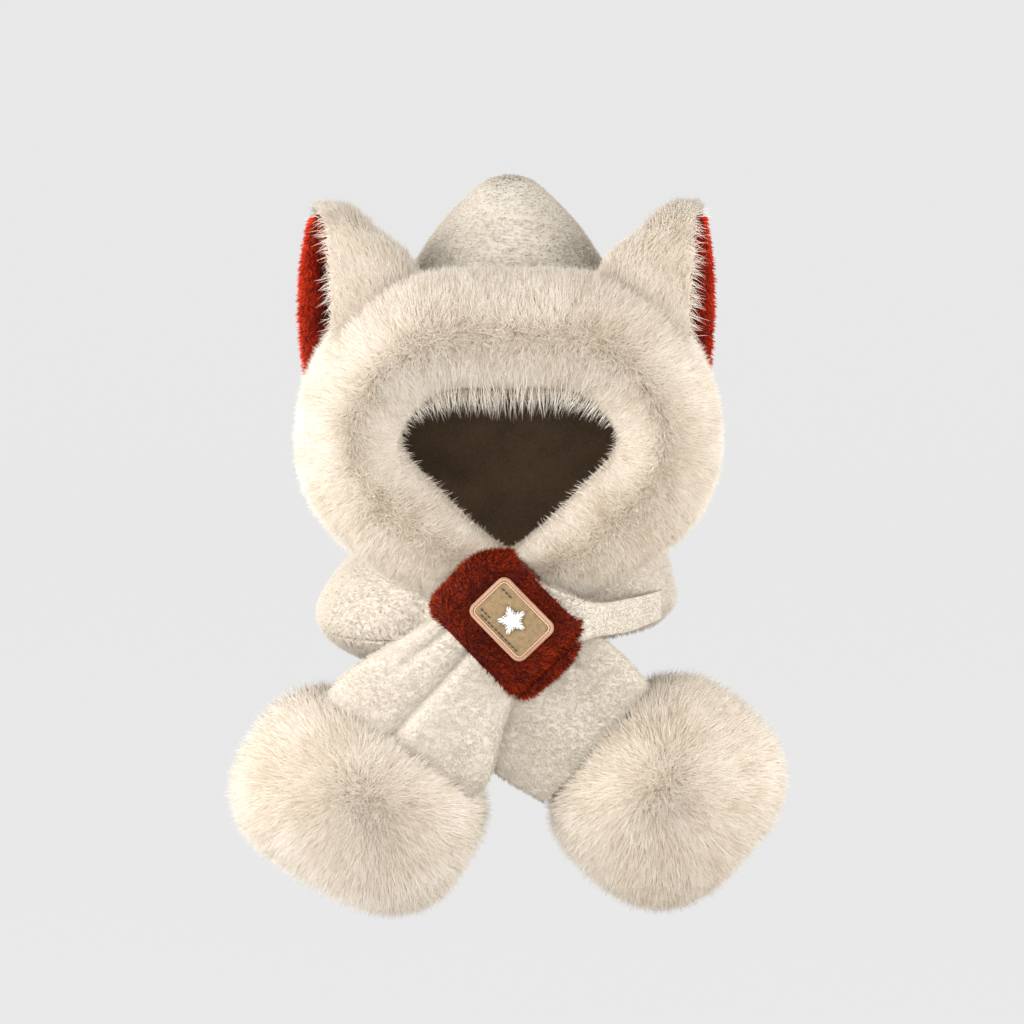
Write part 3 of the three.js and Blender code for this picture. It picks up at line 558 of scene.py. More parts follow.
def makeRuff():
    form, angle = ruffForm(ruffSizes["backing"])
    addPiece("ruff_backing", formMesh(form), creamBacking, "face_ruff")
    p = form["points"]
    around = closeGrid(unit(slopeOf(p[:, :-1], 1, True)), False, True)
    turn = np.append(angle[0], 360.0)[None]
    fromParting = (turn - ruffSizes["parting"] + 180) % 360 - 180
    comb = around * np.tanh(fromParting / ruff["combTurn"])[..., None] + down * 0.12
    row, *_ = ruffFrames(np.arange(len(p) - 1) / (len(p) - 1))
    inner, spread = ruff["opening"]
    fromInner = (turn - inner + 180) % 360 - 180
    length = np.append(row["reach"], row["reach"][0])[:, None, None] / ruff["fullReach"] * ruff["length"] * mm
    nearInner = 1 - ruff["shorter"] * np.exp(-((fromInner / spread) ** 2))[..., None]
    withFields(form, comb=comb, length=length * nearInner)
    place, spread, share = ruff["behind"]
    behind = np.abs((turn - place - ruffSizes["parting"] + 180) % 360 - 180) < spread
    weight = np.broadcast_to(np.where(behind, share, 1.0), p.shape[:2])
    roots = scatter(form, ruff["strands"], 21, weight)
    for half, chosen in (("left", roots["points"][:, 0] < 0), ("right", roots["points"][:, 0] >= 0)):
        part = {field: values[chosen] for field, values in roots.items()}
        addPiece(f"ruff_fur_{half}", pileMesh(part, ruff["look"], 22), deepFur)
    high = smoothStep(*ruff["brow"], p[..., 2:] / mm)
    withFields(form, comb=comb, length=length * ruff["fringeReach"] * (0.45 + 0.55 * high), tone=0.3)
    weight = np.exp(-((fromInner / ruff["fringeSpread"]) ** 2)) * (0.25 + 0.75 * high[..., 0])
    addPile("ruff_fringe", form, ruff["fringe"], (24, 25), ruff["fringeLook"], deepFur, weight)
    print("ruff:", ruff["strands"], "strands")


# The ears

ears = {
    "columns": "z inner outer front back",
    "rows": [
        (-13.5, 121, 135, -60, -54), (-15, 112, 145, -69, -46), (-22, 102, 156, -77, -38), (-41, 77, 171, -84, -28),
        (-60, 63, 180, -90, -22), (-85, 55, 188, -94, -20), (-112, 54, 192, -96, -25), (-140, 62, 192, -94, -37),
    ],
    "squareness": 2.4,
    "drop": 0.5,  # a skin that is moved in also sinks, by this share of it
    "mouthDepth": -80,  # the mouth's plane turns about this depth
    "sides": {"left": (-1, 126, 26), "right": (1, 128, 20)},  # sign, the mouth's place and its turn in degrees
    "furRoll": 8,  # degrees that the fur rolls round into the mouth
    "furWalls": (4.0, 7.0),  # how far the two skins of the fur's backing lie inside the outline
    "redWalls": (7.3, 11.5),  # and those of the red cup
    "redInset": -1.0,  # the red cup's rim stands out of the mouth by this
    "strands": 36000,
    "furLength": 12,
    "rimHairs": 800,
    "tuftHairs": 4200,  # the tip's tuft, which hangs over the mouth
    "rimLength": 19,
    "rimComb": (0.9, -0.1, -0.5),  # outwards over the red cup, to the front and downwards
    "tuftComb": (0.5, -0.1, 0.1),
    "tuftSpread": 9,
    "redToneAndCupShade": (0.15, 0.75),  # the tone on the rim, and how much darker the cup's depth is painted: painted shade deep in the cup
    "redHairs": 12000,
    "redLength": 5.0,
    "look": {**deepLook, "lift": (0.6, 0.3), "droop": -0.05, "mottle": 0.18},
    "rimLook": {
        "lift": (0.35, 0.15), "droop": 0.15, "swirl": 20, "stray": 0.3, "frizz": 0.4, "lock": 3, "lockStray": 0.1,
        "gather": 0.1, "uneven": 0.7, "width": 0.36, "softness": 0.6, "bent": True, "toFront": 0.9, "mottle": 0.1,
    },
    "redLook": {
        "lift": (0.9, 0.8), "droop": 0.1, "swirl": 20, "stray": 0.4, "frizz": 0.4, "lock": 4, "lockStray": 0.1,
        "gather": 0.1, "uneven": 0.4, "width": 0.85, "softness": 0.85, "bent": False, "toFront": 0.15, "mottle": 0.2,
    },
}


def earSkin(side, wall, roll, inset, rows=32, columns=36):
    # oval sections from the tip down, moved in by a wall, each kept from one side of the mouth's plane to the other
    sign, mouthFront, mouthTurn = ears["sides"][side]
    row = {name: v[:, None] for name, v in rowsAt(ears, np.linspace(0, 1, rows)).items()}
    turn = math.radians(mouthTurn - roll)
    outwards = np.array([math.cos(turn), -math.sin(turn)])
    limit = outwards @ [mouthFront, ears["mouthDepth"]] - inset

    def section(angle):
        halfAcross = np.maximum((row["outer"] - row["inner"]) / 2 - wall, 0.4)
        halfDeep = np.maximum((row["back"] - row["front"]) / 2 - wall, 0.4)
        x = (row["inner"] + row["outer"]) / 2 + power(np.cos(angle), ears["squareness"]) * halfAcross
        y = (row["front"] + row["back"]) / 2 + power(np.sin(angle), ears["squareness"]) * halfDeep
        return x, y

    fine = np.linspace(0, 2 * math.pi, 1441)[None] - turn
    x, y = section(fine)
    past = x * outwards[0] + y * outwards[1] - limit
    inside = past < 0
    first, last = inside.argmax(1), inside.shape[1] - 1 - inside[:, ::-1].argmax(1)
    line = np.arange(rows)

    def crossing(at, step):  # where the plane is met between two fine angles
        other = np.clip(at + step, 0, fine.shape[1] - 1)
        a, b = past[line, at], past[line, other]
        share = np.where(other == at, 0.0, a / np.where(np.abs(a - b) < 1e-9, 1.0, a - b))
        return fine[0, at] + (fine[0, other] - fine[0, at]) * np.clip(share, 0, 1)

    begin, end = crossing(first, -1), crossing(last, 1)
    angle = begin[:, None] + (end - begin)[:, None] * np.linspace(0, 1, columns)[None]
    x, y = section(angle)
    z = np.broadcast_to(row["z"] - wall * ears["drop"], x.shape)
    return np.stack([sign * x, y, z], -1) * mm


def shellMesh(outer, inner):  # a closed wall between two skins with the same rows and columns
    ring = np.concatenate([outer, inner[:, ::-1]], 1)
    rows, columns = ring.shape[:2]
    quads = gridQuads(rows, columns, wrapColumns=True).reshape(-1, 4)
    k = np.arange(columns // 2 - 1)
    lid = np.stack([k, k + 1, columns - 2 - k, columns - 1 - k], -1)
    foot = lid[:, ::-1] + (rows - 1) * columns
    quads = np.concatenate([quads, lid, foot])
    a, b, c, d = (ring.reshape(-1, 3)[quads[:, corner]] for corner in range(4))
    volume = (a * np.cross(b, c) + a * np.cross(c, d)).sum()
    return meshFrom(ring.reshape(-1, 3), quads if volume > 0 else quads[:, ::-1])


def skinForm(points, away):  # an open skin whose normals face away from, or towards, its own middle
    form = gridForm(points)
    middle = points.mean((0, 1))
    facing = np.sign((form["normals"] * (points - middle)).sum(-1).mean())
    form["normals"] = form["normals"] * (facing if away else -facing)
    return form


def makeEars():
    for number, side in enumerate(ears["sides"]):
        sign = ears["sides"][side][0]
        outer, inner = (earSkin(side, wall, ears["furRoll"], 0) for wall in ears["furWalls"])
        cup = shellMesh(outer, inner)
        addPiece(f"ear_{side}_backing", cup, creamBacking, f"ear_{side}_fur")
        form = skinForm(outer, True)
        rise = -alongRows(form) + np.array([0.25 * sign, -0.15, 0.0])
        tall = smoothStep(-25, -60, form["points"][..., 2:3] / mm) * 0.25 + 0.75
        withFields(form, comb=rise, length=ears["furLength"] * mm * tall)
        name, seeds = f"ear_{side}_long_fur", (31 + number, 33 + number)
        addPile(name, form, ears["strands"], seeds, ears["look"], deepFur)
        # single hairs along the front rim, lying over the red cup
        lastIsFront = form["points"][16, -1, 1] < form["points"][16, 0, 1]
        toRim = np.arange(form["points"].shape[1])[None]
        toRim = toRim.max() - toRim if lastIsFront else toRim
        weight = np.broadcast_to(np.where(toRim < 2, 1.0, 0.0), form["points"].shape[:2])
        mirror = np.array([sign, 1.0, 1.0])
        # the rim hairs are drawn paler: painted light, where the side light catches them
        withFields(form, comb=mirror * ears["rimComb"], length=ears["rimLength"] * mm, tone=0.35)
        name, seeds = f"ear_{side}_rim_hairs", (131 + number, 133 + number)
        addPile(name, form, ears["rimHairs"], seeds, ears["rimLook"], deepFur, weight)
        fromTip = form["points"][..., 2].max() - form["points"][..., 2]
        weight = np.exp(-((fromTip / (ears["tuftSpread"] * mm)) ** 2))
        withFields(form, comb=mirror * ears["tuftComb"], length=ears["furLength"] * mm)
        name, seeds = f"ear_{side}_tuft", (135 + number, 137 + number)
        addPile(name, form, ears["tuftHairs"], seeds, ears["look"], deepFur, weight)
        outer, inner = (earSkin(side, wall, 0, ears["redInset"]) for wall in ears["redWalls"])
        cup = shellMesh(outer, inner)
        addPiece(f"ear_{side}_red_cup", cup, redBacking, f"ear_{side}_lining")
        lined = np.concatenate([outer[:, :1], inner, outer[:, -1:]], 1)  # the cup's inside with its rim
        form = skinForm(lined, False)
        fromRim = np.linspace(0, 1, lined.shape[1])[None]
        fromRim = fromRim if lastIsFront else fromRim[:, ::-1]
        rimTone, darker = ears["redToneAndCupShade"]
        # painted shade: the pile is drawn darker deep in the cup, where less light reaches
        paintedCupShade = rimTone - darker * smoothStep(0.05, 0.14, fromRim) * smoothStep(-32, -60, lined[..., 2] / mm)
        withFields(form, comb=alongRows(form), length=ears["redLength"] * mm, tone=paintedCupShade[..., None])
        weight = np.exp(-fromRim / 0.16) + 0.12 + 0 * paintedCupShade
        name, seeds = f"ear_{side}_red_pile", (35 + number, 37 + number)
        addPile(name, form, ears["redHairs"], seeds, ears["redLook"], redPlush, weight)
    print("ears:", 2 * ears["strands"], "strands")


# The collar

collar = {
    "columns": "z left right front back",
    "rows": [
        (-256, 104, 104, -84, 104), (-272, 123, 116, -96, 110), (-290, 137, 121, -102, 117),
        (-304, 143, 124, -105, 121), (-314.5, 141, 124, -106, 122), (-316.5, 138.5, 121.5, -104, 120),
        (-318.5, 139, 124, -106, 121), (-328, 128, 121, -103, 117), (-336, 112, 111, -96, 108),
    ],
    "squareness": 2.3,
    "tilt": 0.05,  # the rise of the whole collar from left to right
    "walls": (2.0, 8.5),  # how far its two skins lie inside the outline
    "wave": 1.6,  # how far the cloth bellies in and out
    "rise": 13,  # how much higher the hem hangs at the right than at the left
    "hairs": 56000,
    "length": 4.6,
}


def collarRings(wall, rows=36, columns=104):
    row = rowsAt(collar, np.linspace(0, 1, rows))
    ring = {
        "z": row["z"], "left": row["left"] - wall, "right": row["right"] - wall, "front": row["front"] + wall,
        "back": row["back"] - wall, "squareness": np.full(rows, collar["squareness"]),
    }
    rings = levelRings(ring, columns, crownSizes["rear"])
    toRight = smoothStep(15, 85, rings[..., 0] / mm) * smoothStep(-302, -330, rings[..., 2] / mm)
    rings[..., 2] += rings[..., 0] * collar["tilt"] + toRight * collar["rise"] * mm
    away = unit(rings * [1, 1, 0])
    return rings + away * drift(rings, 55 * mm, 41)[..., :1] * collar["wave"] * mm


def makeCollar():
    outer, inner = (collarRings(wall) for wall in collar["walls"])
    whole = gridForm(np.concatenate([outer, inner[::-1]]), wrapRows=True, wrapColumns=True)
    addPiece("neck_collar_cloth", formMesh(whole), creamBacking, "neck_collar")
    form = gridForm(outer, wrapColumns=True)
    withFields(form, comb=alongRows(form), length=collar["length"] * mm)
    addPile("neck_collar_pile", form, collar["hairs"], (42, 43), shortLook, shortPlush)
    print("collar:", collar["hairs"], "hairs")


# The tails

tails = {
    "columns": "x y z width thickness lean fold",
    "front": [
        (110, -57, -299, 24, 8, 90, 0), (86, -97, -300, 27, 12, 91, 0), (57, -137, -297, 29, 14, 98, 0),
        (27, -147, -291, 58, 18, 124, 0), (2, -147, -296, 76, 20, 134, 0.6), (-22, -147, -320, 80, 21, 134, 1),
        (-43, -143, -346, 102, 23, 137, 2.2), (-65, -135, -374, 128, 28, 144, 2.6),
        (-82, -126, -398, 126, 30, 148, 1.6),
    ],
    "back": [
        (-78, -72, -306, 26, 8, 90, 0), (-52, -102, -312, 50, 12, 80, 0), (-18, -121, -324, 90, 15, 62, 0.6),
        (10, -120, -347, 120, 16, 51, 1.6), (36, -117, -368, 124, 20, 48, 2.4), (62, -112, -390, 114, 26, 48, 1.6),
    ],
    "squareness": 2.6,
    # folds gathered by the loop: place across from -1 to 1, depth, width, and where along the tail they begin and end
    "creases": {
        "front": [(0.17, 6.5, 0.065, 0.56, 1.1), (0.69, 4.0, 0.07, 0.56, 0.86), (-0.75, 2.0, 0.16, 0.6, 0.95)],
        "back": [(0.58, 3.5, 0.06, 0.45, 0.82), (0.1, 2.0, 0.2, 0.6, 1.1)],
    },
    "napIn": 1.6,  # the cloth lies this far inside the nap's outline
    "hairs": 33000,
    "length": 4.0,
    "foldShorter": 0.35,  # how much shorter it is in the folds
    "root": (0.2, 0.36),  # shares of the tail's length between which the root's nap goes over into the rest
    "rootShorter": 0.6,  # the share taken off it where the tail leaves the collar
    "rootPaintedShade": -0.35,  # and how much darker it is painted there, as shade under the collar's edge
}


def tailForm(which, rows=48, columns=128):
    # flat sections along the tail; on the front each crease is a narrow bell of depth across the tail, and the cloth
    # between the creases swells
    share = np.linspace(0, 1, rows)
    row = rowsAt({"columns": tails["columns"], "rows": tails[which]}, share)
    row = {name: v[:, None] for name, v in row.items()}
    angle = np.linspace(0, 2 * math.pi, columns, endpoint=False)[None]
    place = power(np.cos(angle), tails["squareness"])
    crease = np.zeros((rows, columns))
    for across, deep, width, begin, end in tails["creases"][which]:
        window = smoothStep(begin, begin + 0.1, share) * (1 - smoothStep(end - 0.15, end, share))
        crease += deep * np.exp(-np.abs((place - across) / width) ** 1.5) * window[:, None]
    front = np.clip(-np.sin(angle) * 4, 0, 1)
    swell = row["fold"] * np.cos(place * math.pi / 2)
    depth = power(np.sin(angle), tails["squareness"]) * (row["thickness"] / 2 - tails["napIn"])
    depth = depth + (crease - swell) * front
    reach = place * (row["width"] / 2 - tails["napIn"])
    lean = np.radians(row["lean"])
    x, z = row["x"] + np.cos(lean) * reach, row["z"] + np.sin(lean) * reach
    form = gridForm(np.stack([x, row["y"] + depth, z], -1) * mm, wrapColumns=True)
    return form, closeGrid(crease * front, False, True)[..., None]


def makeTails():
    for number, which in enumerate(("front", "back")):
        form, crease = tailForm(which)
        cloth = formMesh(form, caps=True)
        addPiece(f"scarf_{which}_cloth", cloth, creamBacking, f"scarf_tail_{which}")
        nearRoot = 1 - smoothStep(*tails["root"], np.linspace(0, 1, len(crease)))[:, None, None]
        length = tails["length"] * mm * (1 - tails["rootShorter"] * nearRoot) / (1 + tails["foldShorter"] * crease)
        comb = unit(alongRows(form) * (1 - nearRoot) + down * nearRoot)
        # painted shade: the nap is drawn darker where the tail comes out from under the collar
        withFields(form, comb=comb, length=length, tone=tails["rootPaintedShade"] * nearRoot)
        seeds = 51 + number, 53 + number
        addPile(f"scarf_{which}_pile", form, tails["hairs"], seeds, shortLook, shortPlush)
    print("tails")


# The paws

paws = {
    # x, y, z, half the length, width and thickness, and the turn in degrees
    "left": (-106, -116, -429, 65, 86, 46, -121.5),
    "right": (113, -102, -426, 68, 79, 46, -41.5),
    "squareness": 2.8,
    "crown": 2.2,  # the squareness from back to front
    "backing": 0.93,  # the cushion's share of the size; fur fills the rest
    "comb": {"left": 0.12, "right": 0.4},  # how much the fur is combed away from the tail
    "strands": 84000,
    "length": 17,
}


def turnedWays(degrees):  # two directions of the front plane, turned from across and from upwards
    angle = math.radians(degrees)
    return np.array([math.cos(angle), 0.0, math.sin(angle)]), np.array([-math.sin(angle), 0.0, math.cos(angle)])


def pawForm(side, size, rows=38, columns=56):  # an oval cushion: rise goes from its back to its front
    x, y, z, halfLength, halfWidth, halfThickness, turn = paws[side]
    rise = np.linspace(-1.555, 1.555, rows)[:, None, None]
    around = np.linspace(0, 2 * math.pi, columns, endpoint=False)[None, :, None]
    alongTail, acrossTail = turnedWays(turn)
    level = power(np.cos(rise), paws["crown"]) * size
    points = (
        np.array([x, y, z])
        + alongTail * power(np.cos(around), paws["squareness"]) * halfLength * level
        + acrossTail * power(np.sin(around), paws["squareness"]) * halfWidth * level
        + toFace * power(np.sin(rise), paws["crown"]) * halfThickness * size
    )
    return gridForm(points * mm, wrapColumns=True)


def makePaws():
    for number, side in enumerate(("left", "right")):
        form = pawForm(side, paws["backing"])
        cushion = formMesh(form, caps=True)
        addPiece(f"paw_{side}_cushion", cushion, creamBacking, f"paw_{side}")
        rows = form["points"].shape[0]
        spread = -0.9 * np.sin(np.linspace(-math.pi, math.pi, rows))[:, None, None]
        alongTail, _ = turnedWays(paws[side][-1])
        comb = alongRows(form) * spread + alongTail * paws["comb"][side]
        withFields(form, comb=comb, length=paws["length"] * mm)
        weight = np.broadcast_to(np.linspace(0.5, 1.2, rows)[:, None], form["points"].shape[:2])
        seeds = 61 + number, 63 + number
        addPile(f"paw_{side}_long_fur", form, paws["strands"], seeds, deepLook, deepFur, weight)
    print("paws:", 2 * paws["strands"], "strands")


# The red loop

loop = {
    "middle": (2, -147, -295),
    "turn": -46,
    "length": 72,
    "halfWidth": 51,
    "halfThickness": 18,
    "wall": 7,
    "sideWall": 11,  # the padding is thicker where the sleeve folds over
    "squareness": 2.5,
    "bulge": 1.2,  # how far it swells at its middle
    "napIn": 3.0,  # the cloth lies this far inside the nap's outline
    "crease": (40.5, 7.0, 2.3),  # place across, depth and half width of the fold along its lower side
    "corners": (33, 13),  # how far its corners are rounded off, at its upper and its lower end
    "hairs": 40000,
    "nap": 6.2,
    "look": {
        "lift": (0.9, 0.8), "droop": 0.1, "swirl": 22, "stray": 0.4, "frizz": 0.45, "lock": 4, "lockStray": 0.15,
        "gather": 0.1, "uneven": 0.5, "width": 0.55, "softness": 0.85, "bent": False, "toFront": 0.3, "mottle": 0.3,
    },
}
loopAcross, loopAlong = turnedWays(loop["turn"])


def onLoop(across, depth, along):  # a place in the sleeve's own directions
    middle = np.array(loop["middle"], float)
    across, depth, along = (np.asarray(v, float)[..., None] for v in (across, depth, along))
    return (middle + across * loopAcross - depth * toFace + along * loopAlong) * mm


def loopSkin(across):  # how far in front of the sleeve's middle its skin lies
    share = np.minimum(np.abs(across) / (loop["halfWidth"] + loop["bulge"]), 1)
    return (loop["halfThickness"] + loop["bulge"]) * (1 - share ** loop["squareness"]) ** (1 / loop["squareness"])


def loopRings(draw, side, along, columns=112):
    # rounded rectangles: draw and side move each ring in from the front and from the sides
    angle = np.linspace(0, 2 * math.pi, columns, endpoint=False)[None]
    across = power(np.cos(angle), loop["squareness"]) * (loop["halfWidth"] - side[:, None])
    deep = power(np.sin(angle), loop["squareness"]) * (loop["halfThickness"] - draw[:, None])
    where, depth, width = loop["crease"]
    dent = depth * np.exp(-(((across - where) / width) ** 2)) * (np.sin(angle) < 0)
    return onLoop(across, deep + dent, np.broadcast_to(along[:, None], across.shape))


def makeLoop():
    half = loop["length"] / 2
    # the rings stand closer where the sleeve's ends turn in
    along = np.interp(np.linspace(0, 1, 36), [0, 0.3, 0.65, 1], [-half, -half + 13, half - 25, half - 4])
    draw = np.interp(np.abs(along), [0, half - 3, half], [-loop["bulge"], 0.4, 2.6]) + loop["napIn"]
    upper, lower = loop["corners"]
    corner = np.where(along > 0, upper, lower)
    into = np.clip(np.abs(along) - half + corner, 0, corner)
    rounded = corner - np.sqrt(corner ** 2 - (into * 0.94) ** 2)
    outer = loopRings(draw, draw + rounded, along)
    inner = loopRings(0 * draw + loop["wall"] - 0.5, loop["sideWall"] - 0.5 + rounded, along * 0.97)
    whole = gridForm(np.concatenate([outer, inner[::-1]]), wrapRows=True, wrapColumns=True)
    addPiece("scarf_loop_sleeve", formMesh(whole), redBacking, "scarf_loop")
    form = gridForm(outer, wrapColumns=True)
    withFields(form, comb=alongRows(form), length=loop["nap"] * mm)
    addPile("scarf_loop_pile", form, loop["hairs"], (71, 72), loop["look"], redPlushShaded)
    print("loop:", loop["hairs"], "hairs")


# The patch on the loop

patch = {
    "length": 52,
    "width": 36.5,
    "corner": 6,
    "place": (-2.1, 2.1),  # its middle, across and along the sleeve
    "lift": 2.2,  # it lies on the nap
    "field": 1.0,  # thickness of the woven field
    "border": (2.4, 1.8),  # width and height of the stitched border
    "threadPitch": 0.55,  # drawn a little coarser than the real 0.4, so that it shows
    "innerStitch": 2.1,
    "motif": {"radius": 11.2, "points": 5, "waist": 0.55, "thickness": 1.3, "turn": 45, "across": 0.5},
    "rows": [(-17, -12.7, 11), (-20, -9.8, 3), (-20, 10.2, 3)],  # running stitches: first across, along, how many
    "stitchStep": 3.3,
    "stitchLength": 2.2,
}


def onPatch(across, lift, along):
    x, z = across + patch["place"][0], along + patch["place"][1]
    return onLoop(x, -(loopSkin(x) + lift), z)


stitchSteps = 6  # points along each stitch
bow = np.linspace(0, 1, stitchSteps)  # where they lie along it


def lengthRound(length, width, corner):  # round a rectangle with round corners
    return 2 * (length + width) - (8 - 2 * math.pi) * corner


def roundedRing(length, width, corner, count):  # even steps round a rectangle with round corners
    quarter = np.radians(np.linspace(0, 90, 12))
    points = []
    for turnBy, x, z in ((0, 1, 1), (90, -1, 1), (180, -1, -1), (270, 1, -1)):
        arc = quarter + math.radians(turnBy)
        middle = np.array([x * (length / 2 - corner), z * (width / 2 - corner)])
        points.append(middle + corner * np.stack([np.cos(arc), np.sin(arc)], -1))
    line = np.concatenate([*points, points[0][:1]])
    run = np.append(0, np.cumsum(np.linalg.norm(np.diff(line, axis=0), axis=1)))
    at = np.linspace(0, run[-1], count, endpoint=False)
    ring = np.stack([np.interp(at, run, line[:, axis]) for axis in (0, 1)], -1)
    step = np.roll(ring, -1, 0) - np.roll(ring, 1, 0)
    return ring, unit(np.stack([step[:, 1], -step[:, 0]], -1))


def plateMesh(outline, base, thickness, edge, rings=14, centre=(0, 0)):
    # a flat piece of any outline: rings from its middle to its edge, whose rim is rounded and turned under
    share = np.append(np.linspace(0.04, 1, rings), [1.0, 1.0])[:, None, None]
    flat = outline[None] * share + np.array(centre)
    reach = np.linalg.norm(outline, axis=-1)[None]
    toEdge = reach * (1 - share[..., 0])
    top = base + thickness - edge * (1 - np.sqrt(1 - (1 - np.minimum(toEdge / edge, 1)) ** 2))
    top[-2], top[-1] = base + thickness * 0.3, base
    mesh = formMesh(gridForm(onPatch(flat[..., 0], top, flat[..., 1]), wrapColumns=True), caps=True)
    setUv(mesh, "cloth", np.concatenate([flat.reshape(-1, 2), flat[[0, -1]].mean(1)]))  # mm of the flat patch
    return mesh


def threadMesh(paths, radius, sides=5):
    # round threads with closed ends, one for each path: paths are (threads, steps, 3) in metres
    threads, steps = paths.shape[:2]
    chord = unit(np.gradient(paths, axis=1))
    side = unit(np.cross(chord, np.broadcast_to(toFace, chord.shape)))
    upwards = np.cross(side, chord)
    taper = np.sin(np.linspace(0.12, 1 - 0.12, steps) * math.pi)[None, :, None, None] ** 0.35
    angle = np.linspace(0, 2 * math.pi, sides, endpoint=False)[:, None]
    around = side[:, :, None] * np.cos(angle) + upwards[:, :, None] * np.sin(angle)
    rings = paths[:, :, None] + around * (radius * mm * taper)
    points = np.concatenate([rings.reshape(threads, -1, 3), paths[:, [0, -1]]], 1)
    per = points.shape[1]
    quads = gridQuads(steps, sides, wrapColumns=True)[..., ::-1].reshape(-1, 4)
    k = np.arange(sides)
    after = (k + 1) % sides
    last = (steps - 1) * sides
    startCap = np.stack([after, k, np.full(sides, per - 2)], -1)
    endCap = np.stack([last + k, last + after, np.full(sides, per - 1)], -1)
    first = (np.arange(threads) * per)[:, None, None]
    mesh = meshFrom(points.reshape(-1, 3), quads[None] + first, np.concatenate([startCap, endCap])[None] + first)
    a, b, c = points[0][quads[0, :3]]
    if (np.cross(b - a, c - a) * (a - paths[0, 0])).sum() < 0:
        mesh.flip_normals()
    return mesh


def makePatch():
    low = patch["lift"]
    borderWidth, borderHeight = patch["border"]
    onField = low + patch["field"]
    ring, _ = roundedRing(patch["length"] - 2, patch["width"] - 2, patch["corner"] - 1, 160)
    field = plateMesh(ring, low, patch["field"], 0.5)
    addPiece("patch_twill", field, khakiTwill, "patch_field")
    # satin stitches arch over the edge, side by side
    middleLine = patch["length"] - borderWidth, patch["width"] - borderWidth, patch["corner"] - borderWidth / 2
    ring, outwards = roundedRing(*middleLine, int(lengthRound(*middleLine) / patch["threadPitch"]))
    rng = np.random.default_rng(81)
    arch = np.radians(np.linspace(-12, 192, 8))
    across = -np.cos(arch)[None, :, None] * (borderWidth / 2 + rng.uniform(-0.12, 0.12, (len(ring), 1, 1)))
    flat = ring[:, None] + outwards[:, None] * across
    height = low + np.sin(arch)[None] * borderHeight * rng.uniform(0.92, 1.0, (len(ring), 1))
    paths = onPatch(flat[..., 0], height, flat[..., 1])
    border = threadMesh(paths, patch["threadPitch"] * 0.62)
    addPiece("patch_satin_border", border, tanThread, stands="patch_border")
    # a paler line of back stitches just inside the border
    shrink = 2 * borderWidth + 1.2
    inner = patch["length"] - shrink, patch["width"] - shrink, patch["corner"] - borderWidth
    count = int(lengthRound(*inner) / patch["innerStitch"])
    ring, _ = roundedRing(*inner, count * stitchSteps)
    stitch = ring[(np.arange(count) * stitchSteps)[:, None] + np.arange(stitchSteps)]
    height = onField + 0.15 + np.sin(bow * math.pi)[None] * 0.35
    paths = onPatch(stitch[..., 0], height, stitch[..., 1])
    addPiece("patch_inner_stitches", threadMesh(paths, 0.5), paleThread)
    # the felt star, with blunt points
    star = patch["motif"]
    angle = np.linspace(0, 2 * math.pi, 200, endpoint=False)
    wave = np.abs(((angle / (2 * math.pi) * star["points"]) % 1) * 2 - 1)
    point, waist = star["radius"], star["radius"] * star["waist"]
    step = math.pi / star["points"]
    bearing = (1 - wave) * step
    reach = point * waist * math.sin(step) / (waist * np.sin(step - bearing) + point * np.sin(bearing))
    reach = np.minimum(reach, point * 0.93)
    turnBy = angle - math.radians(-star["turn"] + 180 / star["points"])
    outline = np.stack([np.cos(turnBy), np.sin(turnBy)], -1) * reach[:, None]
    felt = plateMesh(outline, onField, star["thickness"], 0.6, centre=(star["across"], 0))
    addPiece("patch_felt_star", felt, woolFelt, "patch_motif")
    # plain running stitches round the star
    rim = outline[::8] + np.array([star["across"], 0])
    flat = rim[:, None] - unit(outline)[::8][:, None] * np.linspace(-0.7, 2.0, stitchSteps)[None, :, None]
    rise = np.interp(bow, [0, 0.3, 0.6, 1], [0.1, 1.35, 1.55, 1.35])[None]
    paths = onPatch(flat[..., 0], onField + np.broadcast_to(rise, flat.shape[:2]), flat[..., 1])
    addPiece("patch_star_stitches", threadMesh(paths, 0.28), darkThread)
    # rows of plain running stitches beside it
    rows = patch["rows"]
    first = np.array([(x + k * patch["stitchStep"], along) for x, along, many in rows for k in range(many)])
    across = first[:, :1] + bow * patch["stitchLength"]
    height = onField + 0.05 + np.sin(bow * math.pi)[None] * 0.4 + 0 * across
    paths = onPatch(across, height, first[:, 1:] + 0 * across)
    addPiece("patch_running_stitches", threadMesh(paths, 0.6), darkThread)
    print("patch")


# Light, floor and camera

stageSizes = {"floorHeight": -0.78, "radius": 7.0, "bend": 2.0, "tone": "303030", "glow": "e8e8e8"}
stageLight = {"glow": 0.975, "room": 0.42}  # strengths of the floor's glow and of the white light all round
lights = {  # place and size in metres, power in watts
    "key_left": {"at": (-1.9, -0.9, 0.2), "size": 1.4, "power": 49},
    "key_right": {"at": (1.9, -0.9, 0.1), "size": 1.4, "power": 31},
    "top": {"at": (0.0, 0.3, 1.8), "size": 1.6, "power": 3},
    "fill_front": {"at": (-0.2, -2.6, -0.15), "size": 2.2, "power": 34},
}
view = {"aim": (0.0022, 0.0, -0.2386), "distance": 2.106, "elevation": 7.0, "lens": 100.05}


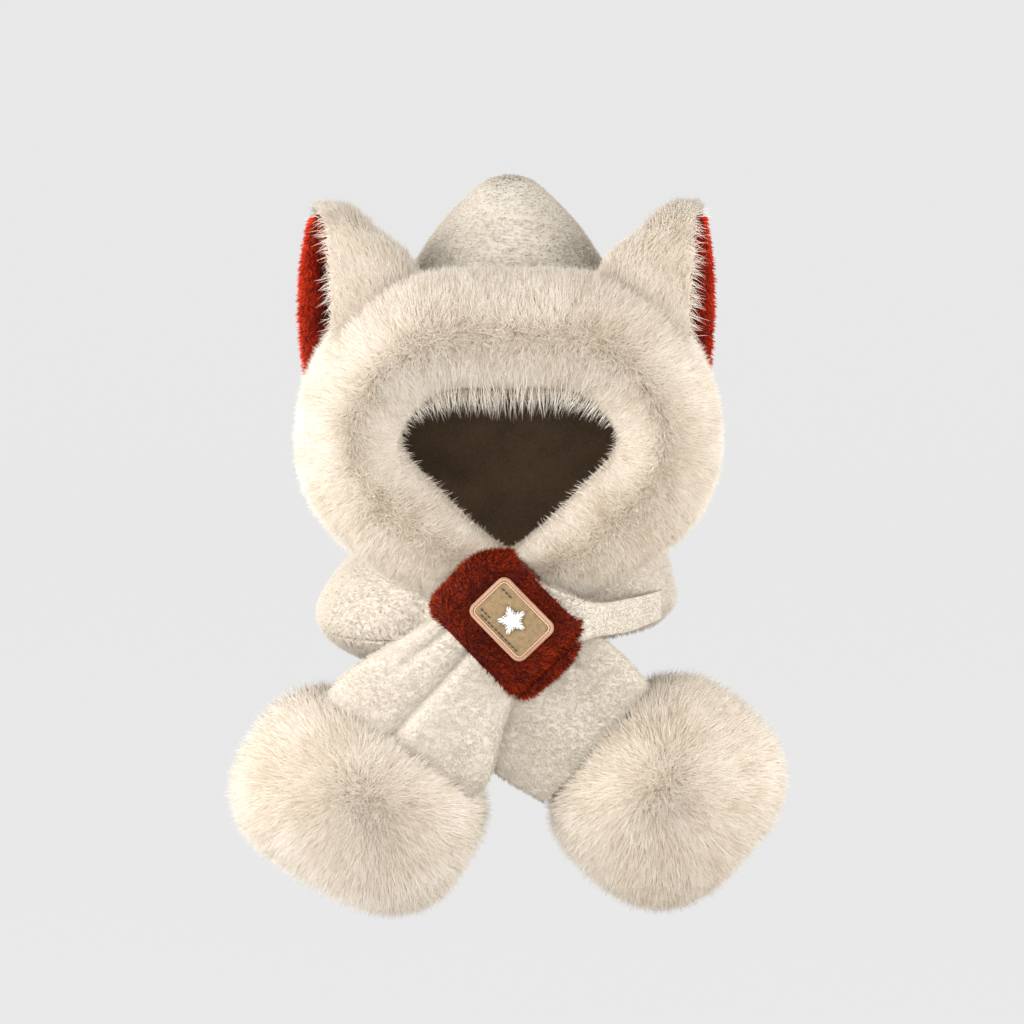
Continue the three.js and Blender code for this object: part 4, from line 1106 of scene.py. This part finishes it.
def makeStage():
    # a round floor that sweeps up into a wall far off: radius grows to the edge, then height follows a quarter arc
    reach, low = stageSizes["radius"], stageSizes["floorHeight"]
    arc, bend = np.radians(np.linspace(8, 90, 12)), stageSizes["bend"]
    out = np.concatenate([np.linspace(0.05, reach - bend, 12), reach - bend + bend * np.sin(arc), np.full(6, reach)])
    high = np.concatenate([np.full(12, low), low + bend - bend * np.cos(arc), np.linspace(low + 2.4, low + 5, 6)])
    turn = np.linspace(0, 2 * math.pi, 96, endpoint=False)[None]
    points = np.stack([out[:, None] * np.cos(turn), out[:, None] * np.sin(turn), high[:, None] + 0 * turn], -1)
    mesh = formMesh(gridForm(points, wrapColumns=True))
    mesh.name = "floor_sweep"
    mesh.flip_normals()
    floor = bpy.data.objects.new("floor_sweep", mesh)
    bpy.context.scene.collection.objects.link(floor)
    material, _, shader = newMaterial("painted_floor")
    setShader(shader, {"Base Color": linear(stageSizes["tone"]), "Roughness": 0.9, "Specular IOR Level": 0.0})
    setShader(shader, {"Emission Color": linear(stageSizes["glow"]), "Emission Strength": stageLight["glow"]})
    mesh.materials.append(material)


def makeLights():
    world = bpy.data.worlds.new("soft_room")
    bpy.context.scene.world = world
    bpy.context.scene.view_settings.view_transform = "Standard"
    world.use_nodes = True
    background = world.node_tree.nodes["Background"]
    background.inputs["Color"].default_value = linear("ffffff")
    background.inputs["Strength"].default_value = stageLight["room"]
    aim = np.array(view["aim"])
    for name, light in lights.items():
        lamp = bpy.data.lights.new(name, "AREA")
        lamp.size = light["size"]
        lamp.energy = light["power"]
        box = bpy.data.objects.new(name, lamp)
        bpy.context.scene.collection.objects.link(box)
        box.location = light["at"]
        way = aim - np.array(light["at"])
        tilt = math.atan2(math.hypot(way[0], way[1]), -way[2])
        box.rotation_euler = (tilt, 0, math.atan2(way[0], -way[1]) + math.pi)


def makeCamera():
    lens = bpy.data.cameras.new("camera")
    lens.lens = view["lens"]
    lens.sensor_width = 36
    lens.clip_end = 40
    camera = bpy.data.objects.new("camera", lens)
    bpy.context.scene.collection.objects.link(camera)
    rise = math.radians(view["elevation"])
    back = np.array([0, -math.cos(rise), math.sin(rise)]) * view["distance"]
    camera.location = np.array(view["aim"]) + back
    camera.rotation_euler = (math.pi / 2 - rise, 0, 0)
    bpy.context.scene.camera = camera


makeCamera()
makeStage()
makeLights()
makeCrown()
makeLining()
makeRuff()
makeEars()
makeCollar()
makeTails()
makePaws()
makeLoop()
makePatch()
